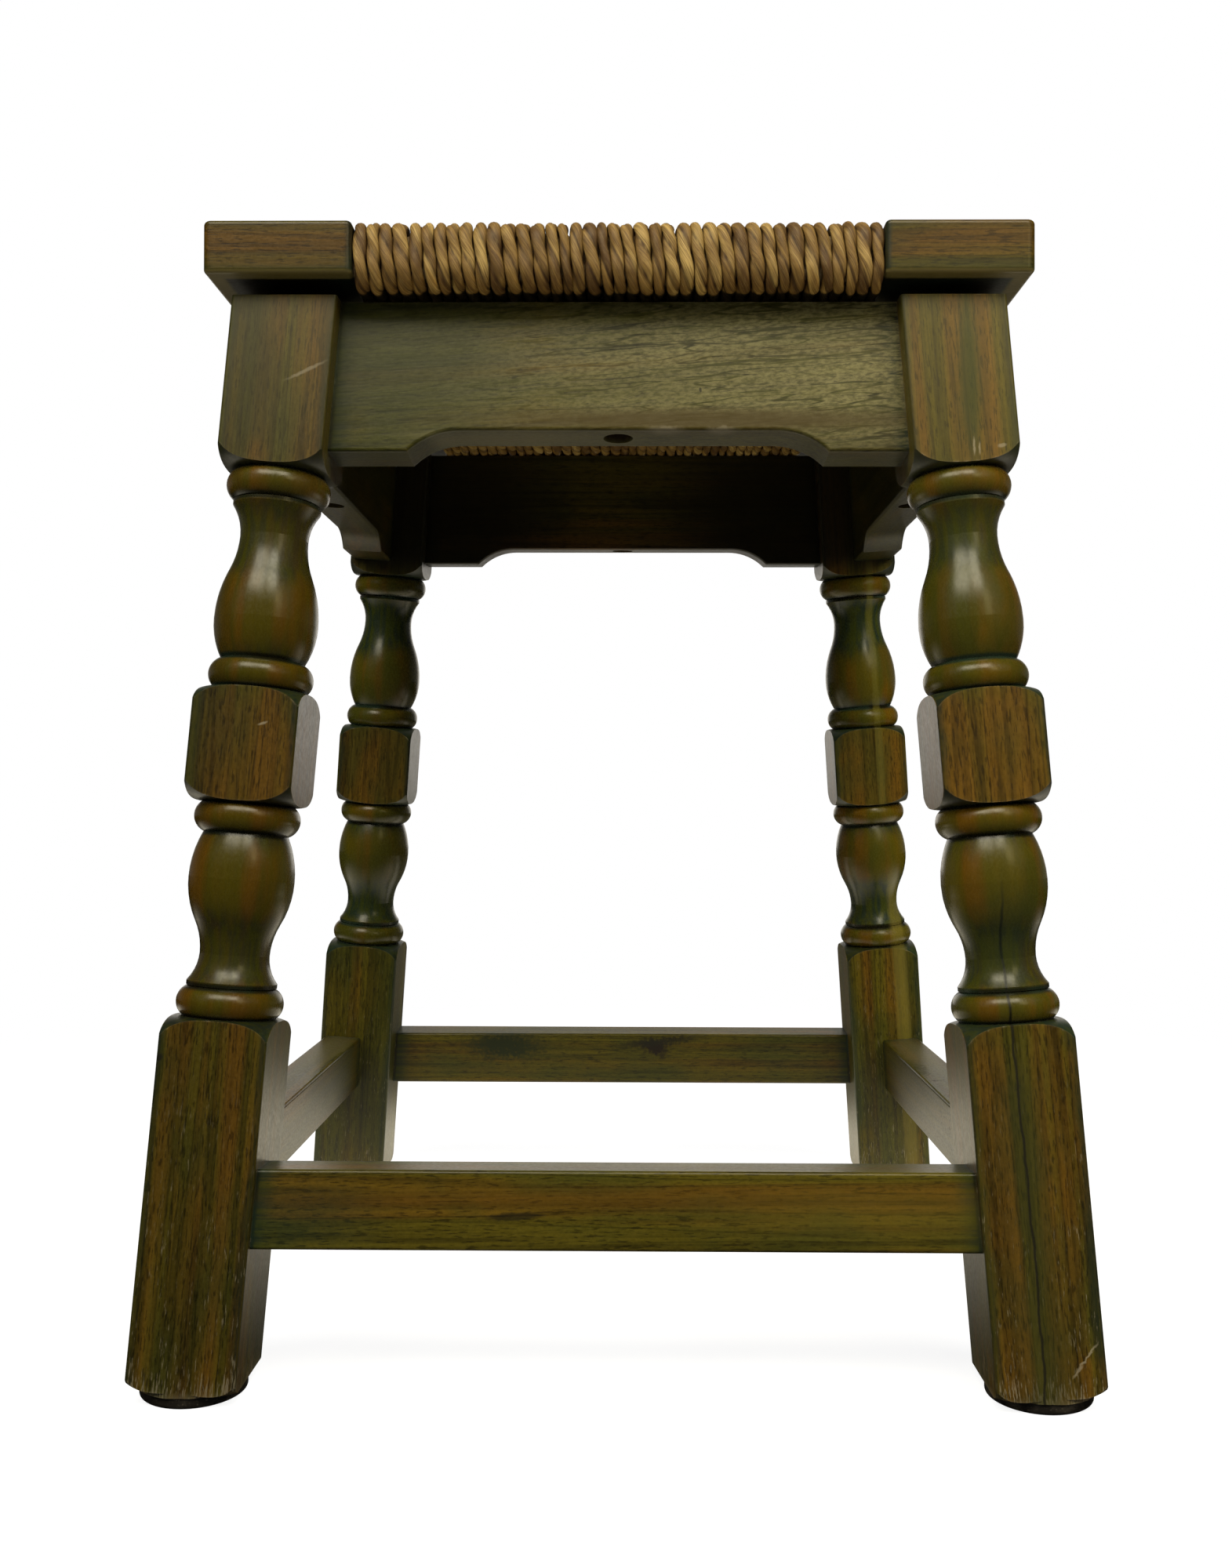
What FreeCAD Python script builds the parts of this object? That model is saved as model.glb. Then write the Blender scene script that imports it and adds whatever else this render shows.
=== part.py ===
import FreeCAD, Part
import math
import os

# Four-legged stool with turned, splayed legs, shaped aprons, a box stretcher and a woven rush seat.
# Millimetres. Z is up, the front faces -Y, and the origin is on the floor under the middle of the seat.

Vector = FreeCAD.Vector

# Overall sizes
seat_side = 351.0            # width and depth of the seat over its corner blocks
leg_top_height = 463.0       # floor to the level tops of the legs and aprons
block_overhang = 10.0        # outer face of the seat past the outer faces of the legs at their tops
splay_run = 33.5             # how far a leg's axis runs outward in X and in Y, from its top to the floor
overrun = 5.0                # how far a cutting shape runs past what it cuts
closeness = 0.05             # lengths that differ by less count as the same when edges are picked

# Legs: square blocks and turned stretches, measured down the leg's axis from its top
leg_square = 45.0
leg_arris = 1.4              # rounding along the edges of the square blocks
top_square_length = 75.0
bead_length = 13.0
upper_vase_length = 69.5
middle_square_length = 49.0
lower_vase_length = 65.0
shoulder_length = 9.0        # rounded shoulder where a square block runs into the turning
shoulder_share = 0.63        # how far out the middle of that rounding is
shoulder_drop_share = 0.27   # and how far down
bead_radius = 22.4
bead_crest_share = 0.53      # place of a bead's crest, from its vase end
vase_notch_radius = 17.9     # groove between a bead and a vase
square_notch_radius = 19.4   # groove between a bead and a square block
neck_radius = 14.6
collar_radius = 18.9         # small collar between a bead and the hollow of a vase
collar_length = 1.8
upper_belly_radius = 22.2
upper_neck_drop = 15.2       # from the start of the upper vase down to its neck
upper_belly_drop = 52.5
lower_belly_radius = 22.2
lower_belly_drop = 19.5      # from the start of the lower vase down to its belly
lower_neck_drop = 51.5
ogee_share = 0.42            # where the hollow of a vase turns into its swell
foot_round_length = 7.0      # corners of the foot, turned off down to this radius at its end
foot_round_radius = 23.0

# Aprons
apron_height = 66.0
apron_thickness = 23.5
front_apron_setback = 10.0   # from the outer face of the legs to that of the front or rear apron
side_apron_setback = 2.0     # and to that of a side apron, nearly level with the legs
apron_easing = 1.5           # rounding of its lower edges
arch_rise = 9.3
arch_margin = 29.5           # from a leg's inner face at its top to the corner where the arch starts
arch_run = 22.5              # length of the curve up to the flat of the arch
apron_dowel_places = (17.0, 47.0)    # heights above the apron's lower edge

# Stretchers
stretcher_height = 32.3
stretcher_thickness = 22.5
stretcher_setback = 3.0
stretcher_bottom = 62.8      # floor to the lower edge of a stretcher's outer face
stretcher_easing = 1.5
stretcher_dowel_places = (8.5, 24.0)

# Dowels
apron_dowel_diameter = 10.0
stretcher_dowel_diameter = 8.0
dowel_in_leg = 17.0
dowel_in_board = 20.0
dowel_chamfer = 1.0
bore_end_gap = 1.0           # spare depth past the end of a dowel or tenon
bore_fit = 0.1               # bore diameter over dowel diameter

# Seat frame: corner blocks and the rails that the cord is wound round
block_side = 63.0
block_thickness = 22.5
block_easing = 2.0           # rounding along the upper and lower edges
block_side_round = 2.5       # of the upright edges beside the rush
block_corner_radius = 3.5
rail_width = 32.0
rail_thickness = 18.5
rail_round = 4.0
tenon_diameter = 11.0
tenon_length = 20.0

# Rush seat
cord_diameter = 5.7
soft_gap = 0.3               # room between the cord and the wood beside it
rush_inset = 0.5             # outer face of the rush behind the outer face of the blocks
rush_crown = 3.0             # swell of the longest strands above the rails
crown_place_share = 0.45
seam_depth = 3.0             # dip where two fields of strands meet
seam_width = 7.0
field_place_shares = (-1.0, 0.0, 1.0)    # sections across a field

# Screws that hold the seat frame down, one up through each apron
counterbore_diameter = 13.0
counterbore_depth = 20.0
screw_head_diameter = 9.6
screw_head_height = 3.2
screw_shank_diameter = 4.8
screw_bite = 12.0            # depth in the seat rail
screw_slot_width = 1.2
screw_slot_depth = 1.1
screw_point_length = 4.0
screw_hole_fit = 0.6

# Glides
glide_diameter = 44.0
glide_thickness = 5.0
glide_round = 1.8
nail_head_diameter = 10.0
nail_head_thickness = 1.4
nail_head_cover = 1.6        # rubber under the nail's head
nail_diameter = 3.0
nail_length = 24.0           # above the glide
nail_point_length = 5.0

# Worked out from the sizes above
diagonal_share = math.sqrt(0.5)    # side of a square, of its diagonal
half_square = leg_square / 2
seat_half = seat_side / 2
leg_top_centre = seat_half - block_overhang - half_square    # middle of the stool to a leg's axis
leg_foot_centre = leg_top_centre + splay_run
arch_half_width = leg_top_centre - half_square - arch_margin
tilt = math.degrees(math.atan2(splay_run * math.sqrt(2), leg_top_height))
lean = math.degrees(math.atan2(splay_run, leg_top_height))
leg_length = math.hypot(splay_run * math.sqrt(2), leg_top_height)
corner_radius = leg_square * diagonal_share
frame_bottom = leg_top_height + soft_gap + cord_diameter
rail_top = frame_bottom + rail_thickness
rush_bottom = leg_top_height + soft_gap
rush_top = rail_top + cord_diameter
rush_half = seat_half - rush_inset
rush_edge_round = rail_round + cord_diameter
rail_outer = rush_half - cord_diameter
block_inner = seat_half - block_side
apron_setbacks = (front_apron_setback, side_apron_setback)
screw_length = (apron_height - arch_rise - counterbore_depth) + (frame_bottom - leg_top_height) + screw_bite

sides = ("front", "right", "rear", "left")
corners = ("front_right", "rear_right", "rear_left", "front_left")
quarter_turn = 90.0
full_turn = 4 * quarter_turn


def turned(shape, quarters):
    """A copy of a shape, turned about the stool's upright axis by quarter turns."""
    copy = shape.copy()
    copy.rotate(Vector(), Vector(0, 0, 1), quarters * quarter_turn)
    return copy


def quarters_of(shape):
    return [turned(shape, count) for count in range(len(sides))]


def quarters_of_pair(pair):
    """Copies for the four sides or corners, where the first and third differ from the other two."""
    return [turned(pair[count % 2], count) for count in range(len(sides))]


def cylinder(radius, length, base, direction):
    return Part.makeCylinder(radius, length, base, direction)


def leg_centre(height):
    """Distance of a leg's axis from the middle of the stool, in X and in Y, at a height."""
    return leg_top_centre + splay_run * (leg_top_height - height) / leg_top_height


# Legs

def on_leg(shape):
    """Carries a shape from the leg's own frame to the front right leg, its foot leaning outward."""
    top = Vector(leg_top_centre, -leg_top_centre, leg_top_height)
    shape.translate(top)
    shape.rotate(top, Vector(1, 1, 0), -tilt)
    return shape


def mark(radius, drop):
    return Vector(radius, 0, -drop)


def crest_arc(crest, end):
    """Arc that runs along the axis at its crest and goes on to its end."""
    rise = end.x - crest.x
    run = end.z - crest.z
    radius = (rise * rise + run * run) / (2 * rise)
    half_angle = math.asin(run / radius) / 2
    middle = Vector(crest.x + radius * (1 - math.cos(half_angle)), 0,
                    crest.z + radius * math.sin(half_angle))
    return Part.Arc(crest, middle, end).toShape()


def ogee(neck, belly):
    """Hollow at the neck that turns smoothly into the swell of the belly."""
    turn = neck + (belly - neck) * ogee_share
    return [crest_arc(neck, turn), crest_arc(belly, turn)]


def bead(vase_end, square_end):
    crest = mark(bead_radius, -(vase_end.z + (square_end.z - vase_end.z) * bead_crest_share))
    return Part.Arc(vase_end, crest, square_end).toShape()


def shoulder(notch, direction):
    """Rounded shoulder from the groove beside a bead out to the corners of a square block."""
    reach = corner_radius - notch.x
    middle = Vector(notch.x + reach * shoulder_share, 0,
                    notch.z + direction * shoulder_length * shoulder_drop_share)
    end = Vector(corner_radius, 0, notch.z + direction * shoulder_length)
    return Part.Arc(notch, middle, end).toShape(), end


def upper_vase(start, end):
    top = -start.z
    collar_top = mark(collar_radius, top)
    collar_end = mark(collar_radius, top + collar_length)
    neck = mark(neck_radius, top + upper_neck_drop)
    belly = mark(upper_belly_radius, top + upper_belly_drop)
    return ([Part.makeLine(start, collar_top), Part.makeLine(collar_top, collar_end),
             crest_arc(neck, collar_end)] + ogee(neck, belly) + [crest_arc(belly, end)])


def lower_vase(start, end):
    top = -start.z
    collar_top = mark(collar_radius, -end.z - collar_length)
    collar_end = mark(collar_radius, -end.z)
    neck = mark(neck_radius, top + lower_neck_drop)
    belly = mark(lower_belly_radius, top + lower_belly_drop)
    return ([crest_arc(belly, start)] + ogee(neck, belly) + [crest_arc(neck, collar_top),
            Part.makeLine(collar_top, collar_end), Part.makeLine(collar_end, end)])


def turning():
    """Solid of revolution that the square stock is cut down to."""
    bead_ends = []
    drop = top_square_length
    for stretch in (upper_vase_length, middle_square_length, lower_vase_length, 0):
        bead_ends.append((drop, drop + bead_length))
        drop += bead_length + stretch
    first, second, third, fourth = bead_ends
    edges = []

    top_notch = mark(square_notch_radius, first[0])
    upper_start = mark(vase_notch_radius, first[1])
    upper_end = mark(vase_notch_radius, second[0])
    middle_notch = mark(square_notch_radius, second[1])
    curve, top_corner = shoulder(top_notch, 1)
    edges += [curve, bead(upper_start, top_notch)] + upper_vase(upper_start, upper_end)
    edges.append(bead(upper_end, middle_notch))
    curve, middle_top = shoulder(middle_notch, -1)
    edges.append(curve)

    lower_notch = mark(square_notch_radius, third[0])
    lower_start = mark(vase_notch_radius, third[1])
    lower_end = mark(vase_notch_radius, fourth[0])
    foot_notch = mark(square_notch_radius, fourth[1])
    curve, middle_bottom = shoulder(lower_notch, 1)
    edges += [Part.makeLine(middle_top, middle_bottom), curve, bead(lower_start, lower_notch)]
    edges += lower_vase(lower_start, lower_end)
    edges.append(bead(lower_end, foot_notch))
    curve, foot_top = shoulder(foot_notch, -1)
    edges.append(curve)

    above = mark(corner_radius, -leg_square)
    below = mark(corner_radius, leg_length + leg_square)
    edges += [Part.makeLine(foot_top, below), Part.makeLine(below, mark(0, leg_length + leg_square)),
              Part.makeLine(mark(0, leg_length + leg_square), mark(0, -leg_square)),
              Part.makeLine(mark(0, -leg_square), above), Part.makeLine(above, top_corner)]
    outline = Part.Wire(Part.__sortEdges__(edges))
    return Part.Face(outline).revolve(Vector(), Vector(0, 0, 1), full_turn)


def foot_rounding():
    """What is turned off the corners of a foot, round the leg's axis."""
    foot_drop = leg_length - glide_thickness / math.cos(math.radians(tilt))
    start = mark(corner_radius, foot_drop - foot_round_length)
    end = mark(foot_round_radius, foot_drop)
    low = mark(foot_round_radius, foot_drop + overrun)
    low_side = mark(corner_radius + overrun, foot_drop + overrun)
    high_side = mark(corner_radius + overrun, foot_drop - foot_round_length)
    outline = Part.Wire([crest_arc(start, end), Part.makeLine(end, low), Part.makeLine(low, low_side),
                         Part.makeLine(low_side, high_side), Part.makeLine(high_side, start)])
    return on_leg(Part.Face(outline).revolve(Vector(), Vector(0, 0, 1), full_turn))


def make_leg():
    """Front right leg, turned from square stock and trimmed level at both ends."""
    stock = Part.makeBox(leg_square, leg_square, leg_length + 2 * leg_square,
                         Vector(-half_square, -half_square, -leg_length - leg_square))
    arrises = [edge for edge in stock.Edges if edge.BoundBox.ZLength > leg_length]
    stock = stock.makeFillet(leg_arris, arrises)
    leg = on_leg(stock.common(turning()))
    reach = 2 * leg_foot_centre
    room = Part.makeBox(reach, reach, leg_top_height - glide_thickness, Vector(0, -reach, glide_thickness))
    return leg.common(room).cut(foot_rounding())


# Boards between the legs

def leg_side():
    """Everything past the inner side faces of the two front legs, which a front board is trimmed to."""
    right = on_leg(Part.makeBox(2 * leg_square, seat_side, leg_length + 2 * leg_square,
                                Vector(-half_square, -seat_half, -leg_length - leg_square)))
    return [right, right.mirror(Vector(), Vector(1, 0, 0))]


def lean_board(board, setback):
    """Leans an upright front board to the splay; its origin goes to the outer face at the leg tops."""
    board.rotate(Vector(), Vector(1, 0, 0), -lean)
    board.translate(Vector(0, setback - leg_top_centre - half_square / math.cos(math.radians(lean)),
                           leg_top_height))
    return board


def board_drop(height):
    """Distance down a leaning board from the level of the leg tops to a height."""
    return (leg_top_height - height) / math.cos(math.radians(lean))


def apron_outline(drop):
    """Outer face of an apron, with its arch, reaching past the legs and the level of their tops."""
    half = leg_foot_centre
    low = -drop
    flat = low + arch_rise
    flat_half = arch_half_width - arch_run
    radius = (arch_run * arch_run + arch_rise * arch_rise) / (2 * arch_rise)
    half_angle = math.asin(arch_run / radius) / 2

    def curve(side):
        start = Vector(side * arch_half_width, 0, low)
        middle = Vector(side * (flat_half + radius * math.sin(half_angle)), 0,
                        flat - radius * (1 - math.cos(half_angle)))
        return Part.Arc(start, middle, Vector(side * flat_half, 0, flat)).toShape()

    edges = [curve(-1), curve(1),
             Part.makeLine(Vector(-flat_half, 0, flat), Vector(flat_half, 0, flat))]
    for side in (-1, 1):
        edges.append(Part.makeLine(Vector(side * arch_half_width, 0, low), Vector(side * half, 0, low)))
        edges.append(Part.makeLine(Vector(side * half, 0, low), Vector(side * half, 0, overrun)))
    edges.append(Part.makeLine(Vector(-half, 0, overrun), Vector(half, 0, overrun)))
    return Part.Face(Part.Wire(Part.__sortEdges__(edges)))


def screw_axis(setback):
    """Where the seat screw of a front apron stands: the foot of its counterbore and its direction."""
    foot = Part.Vertex(0, apron_thickness / 2, -board_drop(leg_top_height - apron_height) + arch_rise)
    foot = lean_board(foot, setback).Point
    angle = math.radians(lean)
    return foot, Vector(0, math.sin(angle), math.cos(angle))


def make_apron(setback, dowel_bores):
    """Front apron, leaning with the legs, bored for its dowels and its seat screw."""
    drop = board_drop(leg_top_height - apron_height)
    board = apron_outline(drop).extrude(Vector(0, apron_thickness, 0))
    low_edges = [edge for edge in board.Edges if edge.BoundBox.YLength < closeness
                 and edge.BoundBox.ZMax < -drop + arch_rise + closeness]
    board = lean_board(board.makeFillet(apron_easing, low_edges), setback)
    level = Part.makeBox(seat_side * 2, seat_side, leg_top_height, Vector(-seat_side, -seat_side, 0))
    foot, up = screw_axis(setback)
    bore = cylinder(counterbore_diameter / 2, counterbore_depth + overrun, foot - up * overrun, up)
    hole = cylinder((screw_shank_diameter + screw_hole_fit) / 2, apron_height, foot, up)
    return board.common(level).cut(leg_side() + [bore, hole] + dowel_bores)


def make_stretcher(dowel_bores):
    """Front stretcher, leaning with the legs."""
    drop = board_drop(stretcher_bottom)
    board = Part.makeBox(2 * leg_foot_centre, stretcher_thickness, stretcher_height,
                         Vector(-leg_foot_centre, 0, -drop))
    long_edges = [edge for edge in board.Edges if edge.BoundBox.XLength > leg_foot_centre]
    board = lean_board(board.makeFillet(stretcher_easing, long_edges), stretcher_setback)
    return board.cut(leg_side() + dowel_bores)


# Dowels

def dowel(diameter, start, length):
    """Dowel along X with chamfered ends."""
    body = cylinder(diameter / 2, length, start, Vector(1, 0, 0))
    rims = [edge for edge in body.Edges if edge.BoundBox.XLength < closeness]
    return body.makeChamfer(dowel_chamfer, rims)


def board_dowels(diameter, thickness, setback, bottom, places):
    """Dowels at both ends of a front board, and the bores that they sit in."""
    pins, bores = [], []
    for place in places:
        middle = Part.Vertex(0, thickness / 2, place - board_drop(bottom))
        middle = lean_board(middle, setback).Point
        joint = leg_centre(middle.z) - half_square
        start = Vector(joint - dowel_in_board, middle.y, middle.z)
        pin = dowel(diameter, start, dowel_in_board + dowel_in_leg)
        bore = cylinder((diameter + bore_fit) / 2, dowel_in_board + dowel_in_leg + 2 * bore_end_gap,
                        start - Vector(bore_end_gap, 0, 0), Vector(1, 0, 0))
        for shape, found in ((pin, pins), (bore, bores)):
            found += [shape, shape.mirror(Vector(), Vector(1, 0, 0))]
    return pins, bores


# Seat frame

def rail_bar(grow):
    """Front seat rail between its shoulders, grown on every long face by a given amount."""
    bar = Part.makeBox(2 * block_inner, rail_width + 2 * grow, rail_thickness + 2 * grow,
                       Vector(-block_inner, -rail_outer - grow, frame_bottom - grow))
    long_edges = [edge for edge in bar.Edges if edge.BoundBox.XLength > block_inner]
    return bar.makeFillet(rail_round + grow, long_edges)


def rail_tenons(diameter, length):
    """Round tenons at both ends of the front seat rail, or the bores for them."""
    start = Vector(block_inner, rail_width / 2 - rail_outer, frame_bottom + rail_thickness / 2)
    tenon = cylinder(diameter / 2, length, start, Vector(1, 0, 0))
    return [tenon, tenon.mirror(Vector(), Vector(1, 0, 0))]


def make_rail(screw_pilot):
    return rail_bar(0).fuse(rail_tenons(tenon_diameter, tenon_length)).cut(screw_pilot)


def make_block():
    """Front right corner block with the blind bores for two tenons."""
    block = Part.makeBox(block_side, block_side, block_thickness,
                         Vector(block_inner, -seat_half, frame_bottom))
    upright = [edge for edge in block.Edges if edge.BoundBox.ZLength > closeness]
    beside_rush = [edge for edge in upright
                   if (edge.BoundBox.XMin > seat_half - closeness)
                   != (edge.BoundBox.YMax < closeness - seat_half)]
    block = block.makeFillet(block_side_round, beside_rush)
    outer = [edge for edge in block.Edges if edge.BoundBox.XMin > seat_half - closeness
             and edge.BoundBox.YMax < closeness - seat_half]
    block = block.makeFillet(block_corner_radius, outer)
    rims = [edge for edge in block.Edges if edge.BoundBox.ZLength < closeness]
    block = block.makeFillet(block_easing, rims)
    right, left = rail_tenons(tenon_diameter + bore_fit, tenon_length + bore_end_gap)
    return block.cut([right, turned(left, 1)])


# Rush seat

def field_section(across, crown):
    """Section of the front field: round the rail's edge, over the crown and down into the seam."""
    outer = -rush_half
    seam = -abs(across)
    dip = seam - seam_width
    edge = outer + rush_edge_round
    bend = rush_edge_round * (1 - diagonal_share)
    crest = edge + (dip - edge) * crown_place_share

    def spot(along, height):
        return Vector(across, along, height)

    low_front = Part.Arc(spot(edge, rush_bottom), spot(outer + bend, rush_bottom + bend),
                         spot(outer, rush_bottom + rush_edge_round)).toShape()
    front = Part.makeLine(spot(outer, rush_bottom + rush_edge_round),
                          spot(outer, rush_top - rush_edge_round))
    top_front = Part.Arc(spot(outer, rush_top - rush_edge_round), spot(outer + bend, rush_top - bend),
                         spot(edge, rush_top)).toShape()
    over = Part.Arc(spot(edge, rush_top), spot(crest, rush_top + crown), spot(dip, rush_top)).toShape()
    top_seam = Part.makeLine(spot(dip, rush_top), spot(seam, rush_top - seam_depth))
    middle = Part.makeLine(spot(seam, rush_top - seam_depth), spot(seam, rush_bottom + seam_depth))
    low_seam = Part.makeLine(spot(seam, rush_bottom + seam_depth), spot(dip, rush_bottom))
    under = Part.makeLine(spot(dip, rush_bottom), spot(edge, rush_bottom))
    return Part.Wire([low_front, front, top_front, over, top_seam, middle, low_seam, under])


def make_rush(screw_holes):
    """Four mitred fields of wound cord as one padded seat, hollow where the rails run through it."""
    half = block_inner - soft_gap
    sections = []
    for share in field_place_shares:
        across = half * share
        length = rush_half - abs(across)
        sections.append(field_section(across, rush_crown * length / rush_half))
    field = Part.makeLoft(sections, True, True)
    fields = quarters_of(field)
    seat = fields[0].fuse(fields[1:])
    return seat.cut(quarters_of(rail_bar(soft_gap)) + screw_holes)


# Screws and glides

def screw_cut(setback, radius):
    """Clear way for a front seat screw from its counterbore up past the bite in the rail."""
    foot, up = screw_axis(setback)
    return cylinder(radius, screw_length + overrun, foot + up * counterbore_depth, up)


def make_screw(setback):
    """Slotted round-head wood screw, its head against the end of the counterbore."""
    radius = screw_shank_diameter / 2
    shank = cylinder(radius, screw_length - screw_point_length, Vector(), Vector(0, 0, 1))
    point = Part.makeCone(radius, 0, screw_point_length, Vector(0, 0, screw_length - screw_point_length))
    head = cylinder(screw_head_diameter / 2, screw_head_height, Vector(0, 0, -screw_head_height),
                    Vector(0, 0, 1))
    rim = [edge for edge in head.Edges if edge.BoundBox.ZMax < -screw_head_height / 2]
    head = head.makeFillet(screw_head_height / 2, rim)
    slot = Part.makeBox(screw_head_diameter, screw_slot_width, screw_slot_depth,
                        Vector(-screw_head_diameter / 2, -screw_slot_width / 2, -screw_head_height))
    screw = head.cut(slot).fuse([shank, point])
    foot, up = screw_axis(setback)
    screw.rotate(Vector(), Vector(1, 0, 0), -lean)
    screw.translate(foot + up * counterbore_depth)
    return screw


def make_nail():
    """Nail of the front right glide: a flat head held in the glide and a pointed shank."""
    centre = leg_centre(glide_thickness)
    base = Vector(centre, -centre, nail_head_cover)
    head = cylinder(nail_head_diameter / 2, nail_head_thickness, base, Vector(0, 0, 1))
    straight = glide_thickness - nail_head_cover + nail_length - nail_point_length
    shank = cylinder(nail_diameter / 2, straight, base, Vector(0, 0, 1))
    point = Part.makeCone(nail_diameter / 2, 0, nail_point_length, base + Vector(0, 0, straight))
    return head.fuse([shank, point])


def make_glide(nail):
    """Dark round glide under the front right foot."""
    centre = leg_centre(glide_thickness)
    disc = cylinder(glide_diameter / 2, glide_thickness, Vector(centre, -centre, 0), Vector(0, 0, 1))
    rim = [edge for edge in disc.Edges if edge.BoundBox.ZMax < glide_round]
    return disc.makeFillet(glide_round, rim).cut(nail)


# The whole stool

def leg_bores(front_bores, side_bores):
    """Bores in the front right leg, for the right end of a front board and the left end of a side board."""
    right = [bore for bore in front_bores if bore.BoundBox.XMax > 0]
    left = [bore for bore in side_bores if bore.BoundBox.XMax < 0]
    return right + [turned(bore, 1) for bore in left]


def build():
    apron_pins, apron_bores = [], []
    for setback in apron_setbacks:
        pins, bores = board_dowels(apron_dowel_diameter, apron_thickness, setback,
                                   leg_top_height - apron_height, apron_dowel_places)
        apron_pins.append(Part.makeCompound(pins))
        apron_bores.append(bores)
    stretcher_pins, stretcher_bores = board_dowels(stretcher_dowel_diameter, stretcher_thickness,
                                                   stretcher_setback, stretcher_bottom,
                                                   stretcher_dowel_places)
    nail = make_nail()
    plain_leg = make_leg().cut(leg_bores(stretcher_bores, stretcher_bores) + [nail])
    legs = [plain_leg.cut(leg_bores(front, side)) for front, side in zip(apron_bores, reversed(apron_bores))]
    screws = [make_screw(setback) for setback in apron_setbacks]
    aprons = [make_apron(setback, bores) for setback, bores in zip(apron_setbacks, apron_bores)]
    rails = [make_rail(screw) for screw in screws]
    hole_radius = (screw_shank_diameter + screw_hole_fit) / 2
    screw_holes = quarters_of_pair([screw_cut(setback, hole_radius) for setback in apron_setbacks])

    pieces = {}
    kinds = (("leg", corners, quarters_of_pair(legs)), ("glide", corners, quarters_of(make_glide(nail))),
             ("corner_block", corners, quarters_of(make_block())), ("apron", sides, quarters_of_pair(aprons)),
             ("stretcher", sides, quarters_of(make_stretcher(stretcher_bores))),
             ("seat_rail", sides, quarters_of_pair(rails)))
    for kind, places, shapes in kinds:
        for place, shape in zip(places, shapes):
            pieces[kind + "_" + place] = shape
    pieces["rush_seat"] = make_rush(screw_holes)
    pieces["apron_dowels"] = Part.makeCompound(quarters_of_pair(apron_pins))
    pieces["stretcher_dowels"] = Part.makeCompound(quarters_of(Part.makeCompound(stretcher_pins)))
    pieces["seat_screws"] = Part.makeCompound(quarters_of_pair(screws))
    pieces["glide_nails"] = Part.makeCompound(quarters_of(nail))
    return pieces


os.makedirs("parts", exist_ok=True)
for name, shape in build().items():
    shape.exportStep("parts/" + name + ".step")
    print(name, len(shape.Solids), round(shape.Volume), shape.isValid())
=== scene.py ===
import math
import random

import bpy
from mathutils import Matrix, Vector, noise


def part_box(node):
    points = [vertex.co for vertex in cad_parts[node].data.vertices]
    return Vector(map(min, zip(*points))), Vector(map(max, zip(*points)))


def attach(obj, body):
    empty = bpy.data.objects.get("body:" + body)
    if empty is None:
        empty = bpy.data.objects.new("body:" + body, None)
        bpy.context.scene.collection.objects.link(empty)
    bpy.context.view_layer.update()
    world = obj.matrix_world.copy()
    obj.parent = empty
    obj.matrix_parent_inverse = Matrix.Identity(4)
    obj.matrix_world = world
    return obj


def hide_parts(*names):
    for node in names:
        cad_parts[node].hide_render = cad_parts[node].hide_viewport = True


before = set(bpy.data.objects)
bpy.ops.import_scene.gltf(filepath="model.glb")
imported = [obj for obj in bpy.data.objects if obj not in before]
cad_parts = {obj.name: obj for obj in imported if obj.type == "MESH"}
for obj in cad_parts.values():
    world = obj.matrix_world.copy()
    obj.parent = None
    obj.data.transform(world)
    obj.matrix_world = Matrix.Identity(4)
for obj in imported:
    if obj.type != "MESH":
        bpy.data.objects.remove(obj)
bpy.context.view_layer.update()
MM = 0.001


def place_of(node, end, axis):
    """Lowest (0) or highest (1) place of a CAD node along an axis, in millimetres."""
    return round(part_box(node)[end][axis] / MM, 3)


# Sizes in millimetres: those of the frame, then those that its boxes don't show

LEG_TOP_HEIGHT = place_of("leg_front_right", 1, 2)
BLOCK_INNER = place_of("corner_block_front_right", 0, 0)
BLOCK_BOTTOM = place_of("corner_block_front_right", 0, 2)
RUSH_OUTER = place_of("rush_seat", 1, 0)
RUSH_BOTTOM = place_of("rush_seat", 0, 2)

LEG_TOP_CENTRE = 143.0
SPLAY_RUN = 33.5           # how far a leg leans out each way over its height
HALF_SQUARE = 22.5         # half the width of a leg
GROOVE_DROPS = (75.0, 88.0, 157.5, 170.5, 219.5, 232.5, 297.5, 310.5)    # down the axis from the leg's top
TURNED_DROPS = ((75.0, 170.5), (219.5, 310.5))    # start and end of each turned length
BORE_HEIGHT = 412.0        # middle of the counterbores in the aprons
FRONT_BORE = 147.5         # how far out they are, in the front and rear aprons
SIDE_BORE = 155.5
CORD = 5.7
RUSH_TOP = 493.2           # at the outer edge, below the crown
EDGE_ROUND = 9.7
CROWN = 3.0
CROWN_PLACE = 0.45         # share of the way in at which the crown is highest
SEAM_DEPTH = 3.0
SEAM_WIDTH = 7.0

TILT = math.atan2(SPLAY_RUN * math.sqrt(2), LEG_TOP_HEIGHT)
CORNERS = ("front_right", "rear_right", "rear_left", "front_left")
SIDES = ("front", "right", "rear", "left")
WHITE = (1.0, 1.0, 1.0)


# Shader nodes by short calls

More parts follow.
